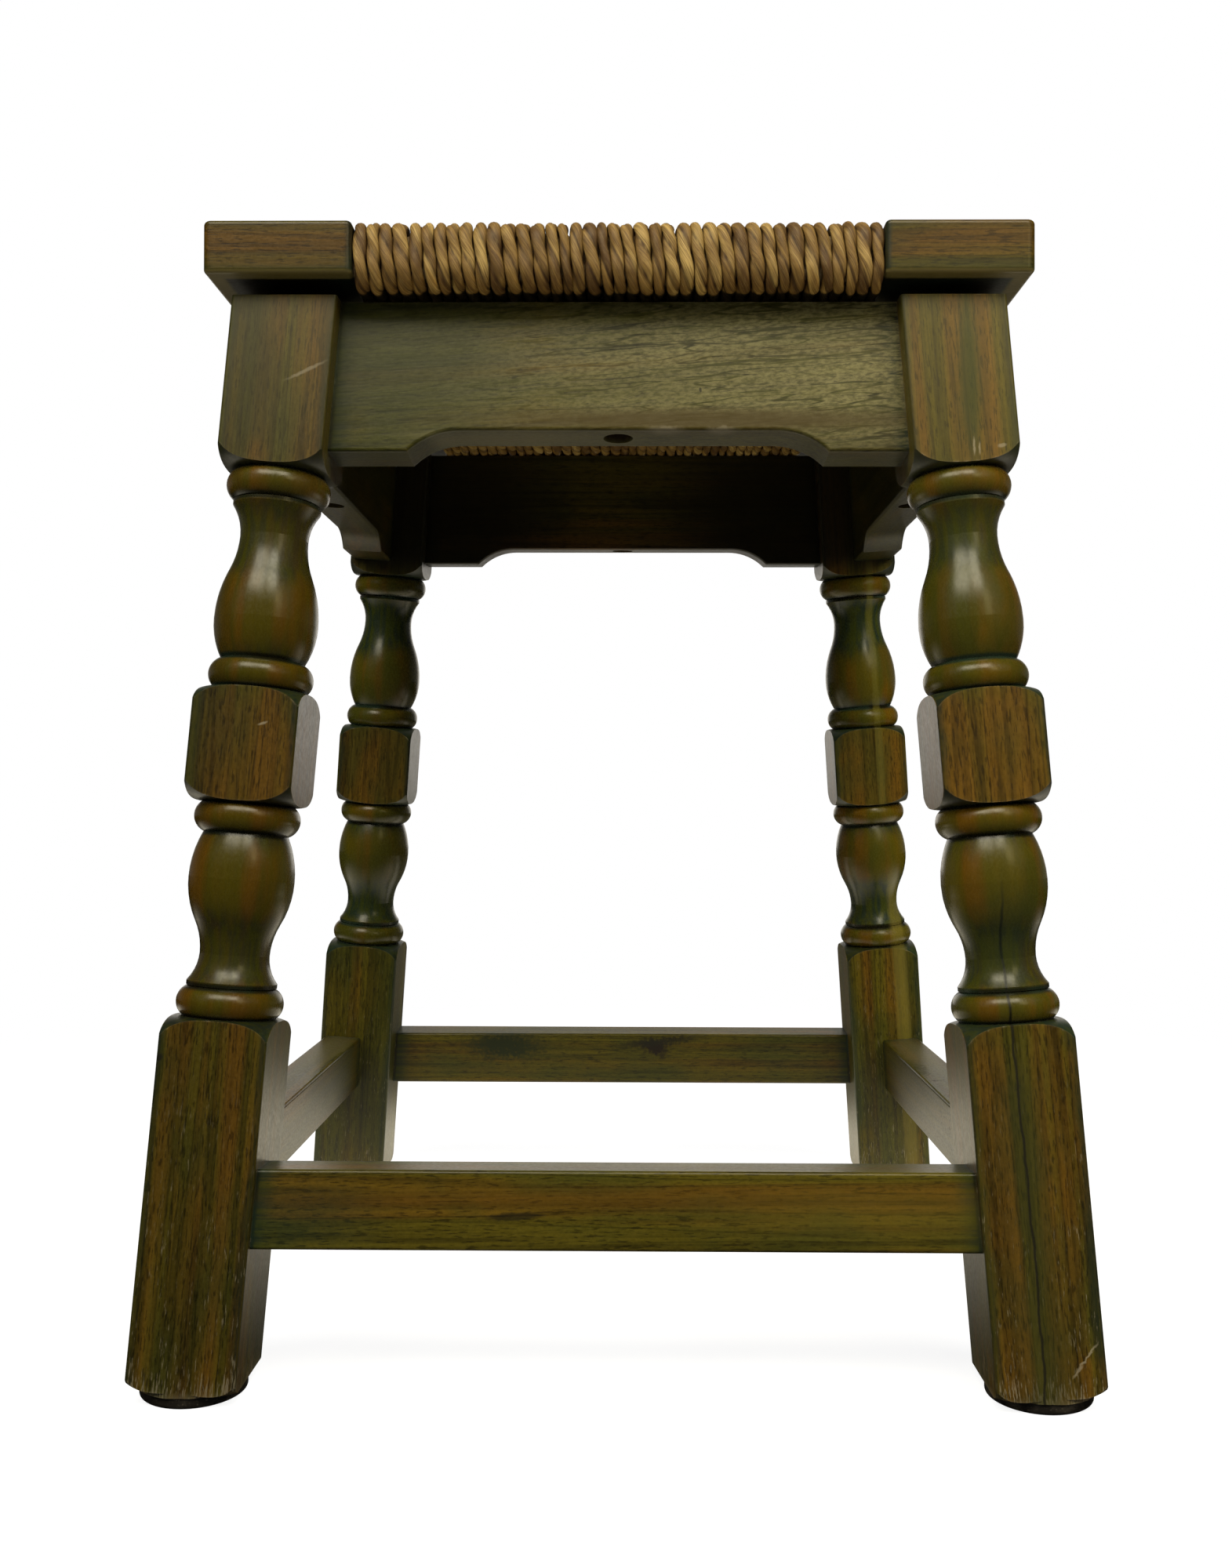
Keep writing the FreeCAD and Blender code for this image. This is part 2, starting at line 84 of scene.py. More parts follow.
class Nodes:
    """A node tree. A value is a number, a colour or vector, or another node's output."""

    def __init__(self, tree, glow_kind="ShaderNodeEmission"):
        self.nodes = tree.nodes
        self.links = tree.links
        self.glow_kind = glow_kind

    def add(self, kind, **settings):
        node = self.nodes.new(kind)
        for name, value in settings.items():
            setattr(node, name, value)
        return node

    def feed(self, socket, value):
        if isinstance(value, bpy.types.NodeSocket):
            self.links.new(value, socket)
        elif isinstance(value, (tuple, list, Vector)):
            value = tuple(value)
            socket.default_value = value + (1.0,) if socket.type == "RGBA" and len(value) == 3 else value
        else:
            socket.default_value = value

    def calc(self, operation, *values, clamp=False):
        node = self.add("ShaderNodeMath", operation=operation, use_clamp=clamp)
        for socket, value in zip(node.inputs, values):
            self.feed(socket, value)
        return node.outputs[0]

    def plus(self, first, second, clamp=False):
        return self.calc("ADD", first, second, clamp=clamp)

    def minus(self, first, second):
        return self.calc("SUBTRACT", first, second)

    def times(self, first, second):
        return self.calc("MULTIPLY", first, second)

    def larger(self, first, second):
        return self.calc("MAXIMUM", first, second)

    def smaller(self, first, second):
        return self.calc("MINIMUM", first, second)

    def size(self, value):
        return self.calc("ABSOLUTE", value)

    def reach(self, x, y):
        """Distance from the middle along the farther of two axes."""
        return self.larger(self.size(x), self.size(y))

    def narrow(self, x, y):
        """Distance from the middle along the nearer of two axes."""
        return self.smaller(self.size(x), self.size(y))

    def sway(self, wave, amount):
        """A noise as a shift to both sides."""
        return self.times(self.minus(wave, 0.5), amount)

    def contours(self, wave, count):
        """Nought along evenly spaced contours of a noise, and up to a half between them."""
        return self.size(self.minus(self.calc("FRACT", self.times(wave, count)), 0.5))

    def vector(self, operation, *values):
        node = self.add("ShaderNodeVectorMath", operation=operation)
        for socket, value in zip(node.inputs, values):
            self.feed(socket, value)
        return node.outputs["Value" if operation in ("DOT_PRODUCT", "LENGTH", "DISTANCE") else "Vector"]

    def rotate(self, value, axis, degrees):
        if not degrees:
            return value
        node = self.add("ShaderNodeVectorRotate", rotation_type=axis)
        self.feed(node.inputs["Vector"], value)
        node.inputs["Angle"].default_value = math.radians(degrees)
        return node.outputs[0]

    def split(self, value):
        node = self.add("ShaderNodeSeparateXYZ")
        self.feed(node.inputs[0], value)
        return node.outputs

    def join(self, x, y, z):
        node = self.add("ShaderNodeCombineXYZ")
        for socket, value in zip(node.inputs, (x, y, z)):
            self.feed(socket, value)
        return node.outputs[0]

    def noise(self, place, scale, detail, rough, warp=0.0):
        node = self.add("ShaderNodeTexNoise")
        self.feed(node.inputs["Vector"], place)
        names = ("Scale", "Detail", "Roughness", "Distortion")
        for name, value in zip(names, (scale, detail, rough, warp)):
            node.inputs[name].default_value = value
        return node.outputs[0]

    def stretched(self, place, scales, detail, rough, warp=0.0):
        """Noise with a scale of its own along each axis."""
        return self.noise(self.vector("MULTIPLY", place, scales), 1.0, detail, rough, warp)

    def span(self, value, low, high, start=0.0, end=1.0):
        """Smooth step of a value from low to high, given out as start to end."""
        node = self.add("ShaderNodeMapRange", interpolation_type="SMOOTHSTEP")
        for socket, part in zip(node.inputs, (value, low, high, start, end)):
            self.feed(socket, part)
        return node.outputs[0]

    def fade(self, value, low, high, start=0.0, end=1.0):
        """The same between two lengths in millimetres."""
        return self.span(value, low * MM, high * MM, start, end)

    def spot(self, place, centre, radii, turn=0.0, edge=0.5):
        """One inside an ellipsoid of these radii in millimetres, turned about Y, and nought outside it."""
        offset = self.vector("SUBTRACT", place, tuple(value * MM for value in centre))
        offset = self.rotate(offset, "Y_AXIS", turn)
        scaled = self.vector("DIVIDE", offset, tuple(value * MM for value in radii))
        return self.span(self.vector("LENGTH", scaled), 1.0 + edge, 1.0 - edge)

    def mix(self, share, first, second, how="MIX"):
        node = self.add("ShaderNodeMix", data_type="RGBA", blend_type=how)
        for socket, value in zip((node.inputs[0], *node.inputs[6:8]), (share, first, second)):
            self.feed(socket, value)
        return node.outputs[2]

    def scaled(self, colour, factor):
        return self.mix(1.0, colour, factor, "MULTIPLY")

    def darken(self, colour, share, amount):
        return self.mix(share, colour, self.scaled(colour, (1 - amount,) * 3))

    def bump(self, height, strength, depth, below=None):
        node = self.add("ShaderNodeBump")
        self.feed(node.inputs["Height"], height)
        node.inputs["Strength"].default_value = strength
        node.inputs["Distance"].default_value = depth * MM
        if below is not None:
            self.feed(node.inputs["Normal"], below)
        return node.outputs[0]

    def glow(self, strength, tint=WHITE):
        node = self.add(self.glow_kind)
        self.feed(node.inputs["Color"], tint)
        self.feed(node.inputs["Strength"], strength)
        return node.outputs[0]

    def pick(self, share, first, second):
        """Mix of two shaders."""
        node = self.add("ShaderNodeMixShader")
        for socket, value in zip(node.inputs, (share, first, second)):
            self.feed(socket, value)
        return node.outputs[0]


class Net(Nodes):
    """The nodes of one material."""

    def __init__(self, name):
        self.material = bpy.data.materials.new(name)
        self.material.use_nodes = True
        super().__init__(self.material.node_tree)
        self.shader = self.nodes["Principled BSDF"]
        self.place = self.add("ShaderNodeTexCoord").outputs["Object"]

    def finish(self, colour, rough, normal=None, shine=0.5):
        self.feed(self.shader.inputs["Base Color"], colour)
        self.feed(self.shader.inputs["Roughness"], rough)
        self.shader.inputs["Specular IOR Level"].default_value = shine
        if normal is not None:
            self.feed(self.shader.inputs["Normal"], normal)
        return self.material


# Stained wood

AMBER = (0.080, 0.039, 0.0015)
OLIVE = (0.053, 0.041, 0.0015)
GREEN = (0.020, 0.027, 0.0035)
TEAL = (0.008, 0.016, 0.0095)
DARK = (0.005, 0.0045, 0.0015)
PALE = (0.26, 0.22, 0.14)
# Silvery tint, partly painted sheen
SILVER_AND_SHEEN = (0.195, 0.168, 0.062)

# Noises in a wood's own frame: scales across, across and along its grain, detail, roughness and distortion
GRAIN = {
    "cloud": ((34, 34, 15), 3, 0.5, 0.3),
    "growth": ((95, 95, 2.6), 2, 0.5, 0.2),
    "lines": ((380, 380, 5), 3, 0.6),
    "pores": ((1350, 1350, 170), 2, 0.5),
    "grit": ((900, 900, 600), 2, 0.6),
    "ragged": ((300, 300, 70), 3, 0.6),
    "wave": ((45, 45, 30), 2, 0.5),
}
GROWTH_RINGS = 8
TURNED_POLISH = 0.85       # how much of the grain's texture the turning takes off
AMBER_EDGE, AMBER_SOFT = 0.65, 0.13
GREEN_EDGE, GREEN_SOFT = 0.64, 0.11
TONE_SHIFT = 0.3           # how far a piece's share of amber or green moves the edge
WARM_SOFT = 8.0            # fade at both ends of a warmer length
# The edges it finds get painted highlight as well as wear.
EDGE_RADIUS = 1.2          # rounding that finds the worn edges


class Piece:
    """What one piece of stained wood differs in: its grain frame, tones and marks."""

    def __init__(self, name, axes, origin, amber, green, light, slant=0.0, marks=(), warm=None):
        self.name = name
        self.axes = axes
        self.origin = origin
        self.amber = amber
        self.green = green
        self.light = light
        self.slant = slant
        self.marks = marks
        self.warm = warm


def wood_colour(net, piece, grain, plain):
    """Amber and olive wood under green clouds, with rings, lines, pores and grit where it isn't turned."""
    edge = AMBER_EDGE - TONE_SHIFT * piece.amber
    amber = net.span(grain["growth"], edge - AMBER_SOFT, edge + AMBER_SOFT)
    if piece.warm:
        low, high, amount = piece.warm
        height = net.split(net.place)[2]
        inside = net.times(net.fade(height, low - WARM_SOFT, low + WARM_SOFT, 0.0, amount),
                           net.fade(height, high + WARM_SOFT, high - WARM_SOFT))
        amber = net.plus(amber, inside, clamp=True)
    colour = net.mix(amber, OLIVE, AMBER)
    edge = GREEN_EDGE - TONE_SHIFT * piece.green
    clouds = net.span(grain["cloud"], edge - GREEN_SOFT, edge + GREEN_SOFT, 0.0, 0.55)
    colour = net.mix(clouds, colour, GREEN)
    rings = net.span(net.contours(grain["growth"], GROWTH_RINGS), 0.17, 0.03)
    colour = net.darken(colour, net.times(rings, plain), 0.34)
    colour = net.mix(plain, colour, net.scaled(colour, net.span(grain["lines"], 0.28, 0.72, 0.66, 1.28)))
    colour = net.darken(colour, net.times(net.span(grain["pores"], 0.55, 0.64), plain), 0.55)
    return net.mix(plain, colour, net.scaled(colour, net.span(grain["grit"], 0.3, 0.7, 0.88, 1.12)))


def worn_and_highlit_edges(net, grain):
    """Share of pale along sharp edges: a faint even line that is painted highlight, and bare wood where the
    finish wore off, ragged along the grain.
    """
    bevel = net.add("ShaderNodeBevel", samples=4)
    bevel.inputs["Radius"].default_value = EDGE_RADIUS * MM
    flat = net.add("ShaderNodeNewGeometry").outputs["Normal"]
    arris = net.span(net.vector("DOT_PRODUCT", bevel.outputs[0], flat), 0.97, 0.88)
    ragged = net.span(grain["ragged"], 0.55, 0.70)
    return net.times(arris, net.calc("MULTIPLY_ADD", ragged, 0.40, 0.08))


def wood_relief(net, grain, smooth):
    """Waves in the lacquer over the tooth of lines and pores, both flatter on turned wood."""
    wave = net.times(grain["wave"], net.span(smooth, 0.0, 1.0, 1.0, 0.8))
    lacquer = net.bump(wave, 0.2, 0.9)
    tooth = net.minus(grain["lines"], net.times(grain["pores"], 0.8))
    tooth = net.times(tooth, net.span(smooth, 0.0, 1.0, 1.0, 0.3))
    return net.bump(tooth, 0.12, 0.25, lacquer)


def stained_wood(piece, glaze):
    """Wood under a translucent green stain, darker where the glaze gathered and pale where it wore off,
    with painted edge highlights and the painted light and shade that some glazes and marks give.
    glaze(net, own, cloud) gives the shares of green and of dark glaze and painted shade, and how smooth the
    turning is."""
    net = Net("stained_" + piece.name)
    chance = random.Random(piece.name)
    offset = net.vector("SUBTRACT", net.place, tuple(value * MM for value in piece.origin))
    own = net.join(*(net.vector("DOT_PRODUCT", offset, tuple(axis)) for axis in piece.axes))
    seed = tuple(chance.uniform(-3, 3) for _ in range(3))
    here = net.vector("ADD", net.rotate(own, "X_AXIS", piece.slant), seed)
    grain = {name: net.stretched(here, *settings) for name, settings in GRAIN.items()}

    green, dark_glaze_and_shade, smooth = glaze(net, own, grain["cloud"])
    plain = net.calc("MULTIPLY_ADD", smooth, -TURNED_POLISH, 1.0)
    colour = wood_colour(net, piece, grain, plain)
    colour = net.mix(green, colour, net.mix(net.span(grain["lines"], 0.4, 0.6), TEAL, GREEN))
    colour = net.mix(dark_glaze_and_shade, colour, net.mix(net.span(grain["cloud"], 0.4, 0.6), DARK, TEAL))
    colour = net.mix(net.times(worn_and_highlit_edges(net, grain), plain), colour, PALE)
    rough = net.plus(net.span(grain["grit"], 0.3, 0.7, 0.33, 0.41), net.times(smooth, -0.10))
    for mark in piece.marks:
        share, tint, dull = mark(net, net.place, own, here)
        colour = net.mix(share, colour, tint)
        rough = net.plus(rough, net.times(share, dull), clamp=True)
    if piece.light != 1.0:
        colour = net.scaled(colour, (piece.light,) * 3)
    return net.finish(colour, rough, wood_relief(net, grain, smooth), 0.4)


# Glazes, with the painted shade of the corner blocks. Lengths are in millimetres, and each pair is where a
# fade starts and ends.

LOOSE = 9.0                          # how far the glaze wanders
HOLLOW_RADII = (21.0, 16.6)
GROOVE_REACH = (2.3, 0.7)
GROOVE_RADII = (21.6, 20.0)
SHOULDER_REACH = (9.5, 8.5)          # beside a collar, on the square blocks
BLOCK_FACES = (22.45, 22.1)          # inside these the shoulders start
BLOCK_EDGES = (17.5, 22.0)


def leg_glaze(net, own, cloud, depth=0.62):
    """Green in the hollows and on the shoulders, near black in the grooves and beside the collars."""
    x, y, z = net.split(own)
    near = turned = None
    for drop in GROOVE_DROPS:
        gap = net.size(net.plus(z, drop * MM))
        near = gap if near is None else net.smaller(near, gap)
    for start, end in TURNED_DROPS:
        away = net.size(net.plus(z, (start + end) / 2 * MM))
        inside = net.calc("LESS_THAN", away, (end - start) / 2 * MM)
        turned = inside if turned is None else net.larger(turned, inside)
    square = net.minus(1.0, turned)
    radius = net.calc("SQRT", net.plus(net.times(x, x), net.times(y, y)))
    loose = net.sway(cloud, LOOSE * MM)
    hollow = net.times(net.fade(net.plus(radius, loose), *HOLLOW_RADII, 0.0, depth), turned)
    groove = net.times(net.fade(near, *GROOVE_REACH), net.fade(radius, *GROOVE_RADII))
    shoulder = net.times(net.fade(near, *SHOULDER_REACH), net.fade(net.reach(x, y), *BLOCK_FACES))
    shoulder = net.times(shoulder, square)
    edge = net.times(net.fade(net.plus(net.narrow(x, y), loose), *BLOCK_EDGES, 0.0, 0.6), square)
    green = net.larger(net.larger(hollow, edge), net.times(shoulder, 0.9))
    dark = net.larger(net.times(groove, 0.95), net.times(shoulder, 0.45))
    return green, dark, turned


def rear_leg_glaze(net, own, cloud):
    return leg_glaze(net, own, cloud, 0.9)


def board_glaze(net, own, cloud):
    """A near black line and a green band where a board meets the legs."""
    z = net.split(own)[2]
    height = net.split(net.place)[2]
    leg_face = (LEG_TOP_CENTRE + SPLAY_RUN - HALF_SQUARE) * MM
    joint = net.calc("MULTIPLY_ADD", height, -SPLAY_RUN / LEG_TOP_HEIGHT, leg_face)
    gap = net.minus(joint, net.size(z))
    band = net.plus(gap, net.sway(cloud, 14 * MM))
    return net.fade(band, 11, 1.5, 0.0, 0.8), net.fade(gap, 2.2, 0.8, 0.0, 0.9), 0.0


def block_glaze_and_shade(net, own, cloud):
    """Painted near-black shade on the underside over the leg tops, near black beside the rush, green along
    the lower edges.
    """
    x, y, z = net.split(net.place)
    under = net.fade(z, BLOCK_BOTTOM + 1.0, BLOCK_BOTTOM + 0.2)
    # Painted shade: near black on the block's underside over the leg tops
    painted_slot_shade = net.times(under, net.fade(net.reach(x, y), 170.5, 166.0, 0.0, 0.9))
    beside = net.fade(net.narrow(x, y), BLOCK_INNER + 3.5, BLOCK_INNER + 0.8, 0.0, 0.8)
    ragged = net.plus(z, net.times(cloud, 6 * MM))
    low = net.fade(ragged, BLOCK_BOTTOM + 9.0, BLOCK_BOTTOM + 4.0, 0.0, 0.5)
    return low, net.larger(painted_slot_shade, beside), 0.0


def turn_matrix(quarters):
    return Matrix.Rotation(math.radians(90 * quarters), 3, "Z")


def leg_frame(quarters):
    """A leg's own axes, its grain along the third, and the middle of its top."""
    tilt = Matrix.Rotation(-TILT, 3, Vector((1, 1, 0)).normalized())
    turn = turn_matrix(quarters)
    axes = [turn @ (tilt @ Vector(axis)) for axis in ((1, 0, 0), (0, 1, 0), (0, 0, 1))]
    return axes, turn @ Vector((LEG_TOP_CENTRE, -LEG_TOP_CENTRE, LEG_TOP_HEIGHT))


def board_frame(quarters):
    """A board's own axes: across, up and, third, along its grain."""
    turn = turn_matrix(quarters)
    return [turn @ Vector(axis) for axis in ((0, 1, 0), (0, 0, 1), (1, 0, 0))], Vector()


# Marks of wear, and of painted light and shade. Each gives its share, its colour and what it adds to the
# roughness. Lengths are in millimetres.

PALER_TOP = (0.13, 0.10, 0.020)
SCUFFED = (0.13, 0.11, 0.05)
SHAKE_STAIN = (0.018, 0.021, 0.0025)
BORE_WOOD = (0.032, 0.012, 0.005)
# Painted light on the outer strip of the corner blocks' undersides
PAINTED_LIT_EDGE = (0.20, 0.155, 0.045)
LEG_SHAKE = ((158.3, 221.6), (161.9, 154.5), (169.1, 66.9), (172.5, 18.0), (173.2, 2.0))    # as X and Z
LEG_FRONT = -150.0         # front faces of the front legs lie before this
RAGGED_SCALE = 400
STREAK_END = 12.0          # fade at both ends of a streak


def patch(centre, radii, tint, turn=0.0, strength=1.0, dull=0.2, edge=0.5, ragged=0.0):
    """Spot of another colour: an ellipsoid turned about Y, with a soft edge that may be ragged."""
    def mark(net, place, own, here):
        if ragged:
            shift = net.add("ShaderNodeTexNoise")
            net.feed(shift.inputs["Vector"], place)
            shift.inputs["Scale"].default_value = RAGGED_SCALE
            offset = net.vector("SUBTRACT", shift.outputs["Color"], (0.5, 0.5, 0.5))
            place = net.vector("ADD", place, net.vector("MULTIPLY", offset, (ragged * MM,) * 3))
        return net.times(net.spot(place, centre, radii, turn, edge), strength), tint, dull
    return mark


def pitting(centre, radii):
    """Small dark pits in one region."""
    def mark(net, place, own, here):
        pits = net.stretched(place, (520, 260, 420), 2, 0.6)
        return net.times(net.span(pits, 0.60, 0.68, 0.0, 0.8), net.spot(place, centre, radii)), DARK, 0.2
    return mark


def foot_chips(net, place, own, here):
    """Fine upright scratches and a thin worn edge along the foot."""
    height = net.split(place)[2]
    chip = net.stretched(here, (1500, 1500, 170), 3, 0.6)
    broad = net.stretched(here, (110, 110, 70), 2, 0.5)
    band = net.plus(net.fade(height, 24, 5, 0.0, 0.13), net.times(broad, 0.25))
    share = net.span(net.plus(chip, band), 0.74, 0.86, 0.0, 0.42)
    share = net.times(share, net.fade(height, 190, 30))
    return net.larger(share, net.fade(height, 8, 5, 0.0, 0.15)), PALE, 0.3


def streak(offset, width, low, high, tint, strength):
    """Other wood along the grain of a leg, this far right of the middle of its front, from low to high."""
    def mark(net, place, own, here):
        middle = net.plus(net.split(own)[1], offset * MM)
        wave = net.stretched(here, (300, 300, 6), 2, 0.5)
        away = net.size(net.plus(middle, net.sway(wave, 3 * MM)))
        height = net.split(place)[2]
        share = net.times(net.fade(away, width, width * 0.4), net.fade(height, low, low + STREAK_END))
        share = net.times(share, net.fade(height, high, high - STREAK_END))
        return net.times(share, strength), tint, 0.0
    return mark


def silvering_and_sheen(net, place, own, here):
    """Silvery speckle of thin finish between dark lines, partly painted sheen, denser to the right and thin
    at the bottom.
    """
    speckle = net.stretched(here, (900, 900, 330), 3, 0.6)
    broad = net.stretched(here, (60, 60, 14), 2, 0.5)
    lines = net.contours(net.stretched(here, (110, 110, 9), 3, 0.5), 7)
    x, _, z = net.split(place)
    amount = net.times(net.fade(x, -130, 80, 0.10, 0.76), net.fade(z, 396, 412, 0.35, 1.0))
    amount = net.times(amount, net.span(broad, 0.3, 0.7, 0.7, 1.1))
    amount = net.times(amount, net.span(lines, 0.02, 0.11, 0.10, 1.0))
    return net.times(net.span(speckle, 0.32, 0.68, 0.24, 1.0), amount), SILVER_AND_SHEEN, 0.12


def counterbore(quarters, away):
    """Reddish brown wood inside the bore of an apron's screw."""
    middle = turn_matrix(quarters) @ Vector((0, -away, BORE_HEIGHT))
    return patch(tuple(middle), (7.0, 7.0, 12.0), BORE_WOOD, 0.0, 0.95, 0.2, 0.06)


def tint_by_height(low, high, amount, tint):
    """Tint that grows with the height."""
    def mark(net, place, own, here):
        return net.fade(net.split(place)[2], low, high, 0.0, amount), tint, 0.1
    return mark


def shake(points, width, core, wander, tint, strength):
    """Crack or stain that follows a few points on a front face. It is full in its core, a share of its
    width, wanders to both sides and fades in below its top."""
    def mark(net, place, own, here):
        share = None
        x, y, z = net.split(place)
        wave = net.stretched(here, (60, 60, 60), 3, 0.6)
        x = net.plus(x, net.sway(wave, wander * MM))
        for (x0, z0), (x1, z1) in zip(points, points[1:]):
            slope = (x1 - x0) / (z1 - z0)
            line = net.calc("MULTIPLY_ADD", z, slope, (x0 - slope * z0) * MM)
            away = net.size(net.minus(x, line))
            inside = net.times(net.calc("GREATER_THAN", z, z1 * MM), net.calc("LESS_THAN", z, z0 * MM))
            part = net.times(net.fade(away, width, width * core), inside)
            share = part if share is None else net.larger(share, part)
        top = points[0][1]
        front = net.times(net.calc("LESS_THAN", y, LEG_FRONT * MM), net.fade(z, top, top - 30))
        return net.times(net.times(share, front), strength), tint, 0.2
    return mark


def painted_lit_overhang(net, place, own, here):
    """Painted light: a lighter outer strip on the underside of a corner block."""
    x, y, z = net.split(place)
    under = net.fade(z, BLOCK_BOTTOM + 2.0, BLOCK_BOTTOM + 0.5)
    outer = net.fade(net.reach(x, y), 166.5, 169.0)
    return net.times(net.times(under, outer), 0.8), PAINTED_LIT_EDGE, 0.0


# A patch's numbers: centre, radii, colour, turn in degrees, strength, dullness, edge and raggedness

LEG_MARKS = {
    "front_right": [
        foot_chips, tint_by_height(330, 440, 0.14, PALER_TOP),
        shake(LEG_SHAKE[1:], 16.0, 0.0, 14.0, SHAKE_STAIN, 0.6),
        shake(LEG_SHAKE, 0.8, 0.25, 3.0, DARK, 0.9),
        patch((148.8, -168.0, 425.0), (4.5, 6.0, 40.0), GREEN, 1.0, 0.7, 0.0, 0.6, 2.0),
        patch((150.6, -170.0, 397.0), (0.45, 4.0, 3.6), PALE, 0.0, 0.45, 0.3, 0.4, 1.0),
        patch((152.9, -170.0, 396.0), (0.4, 4.0, 2.6), PALE, 0.0, 0.4, 0.3, 0.4, 1.0),
        patch((162.4, -170.0, 397.2), (1.8, 4.0, 0.8), PALE, 12.0, 0.4, 0.3, 0.4, 1.6),
        patch((190.0, -197.3, 24.0), (0.5, 4.0, 6.0), PALE, -38.0, 0.5, 0.3, 0.5, 3.0),
        patch((186.0, -197.3, 18.0), (0.5, 4.0, 3.0), PALE, -38.0, 0.4, 0.3, 0.5, 2.0),
        patch((142.8, -188.5, 148.5), (0.9, 4.0, 3.0), DARK, 0.0, 0.8, 0.2, 0.4, 1.0),
        patch((163.0, -183.0, 190.0), (12.0, 30.0, 20.0), TEAL, 0.0, 0.35, 0.0, 0.8, 8.0),
    ],
    "rear_right": [
        # Near black towards the top: painted shade under the seat
        foot_chips, tint_by_height(384, 400, 0.85, DARK),
        streak(6.0, 3.2, 235, 400, (0.10, 0.085, 0.012), 0.4),
        streak(11.0, 6.0, 5, 205, (0.12, 0.095, 0.015), 0.5),
    ],
    "rear_left": [
        # Near black towards the top: painted shade under the seat
        foot_chips, tint_by_height(384, 400, 0.85, DARK),
        streak(10.0, 6.5, 5, 160, (0.095, 0.085, 0.010), 0.5),
    ],
    "front_left": [
        foot_chips, tint_by_height(330, 440, 0.14, PALER_TOP),
        patch((-187.5, -189.0, 141.0), (1.4, 4.0, 1.4), DARK, 0.0, 0.85, 0.2, 0.4, 1.5),
        patch((-133.0, -168.0, 429.8), (8.0, 4.0, 0.7), PALE, 26.0, 0.45, 0.2, 0.5, 1.2),
        patch((-148.0, -179.0, 278.7), (1.9, 4.0, 0.5), PALE, 20.0, 0.6, 0.2, 0.5, 0.6),
    ],
}

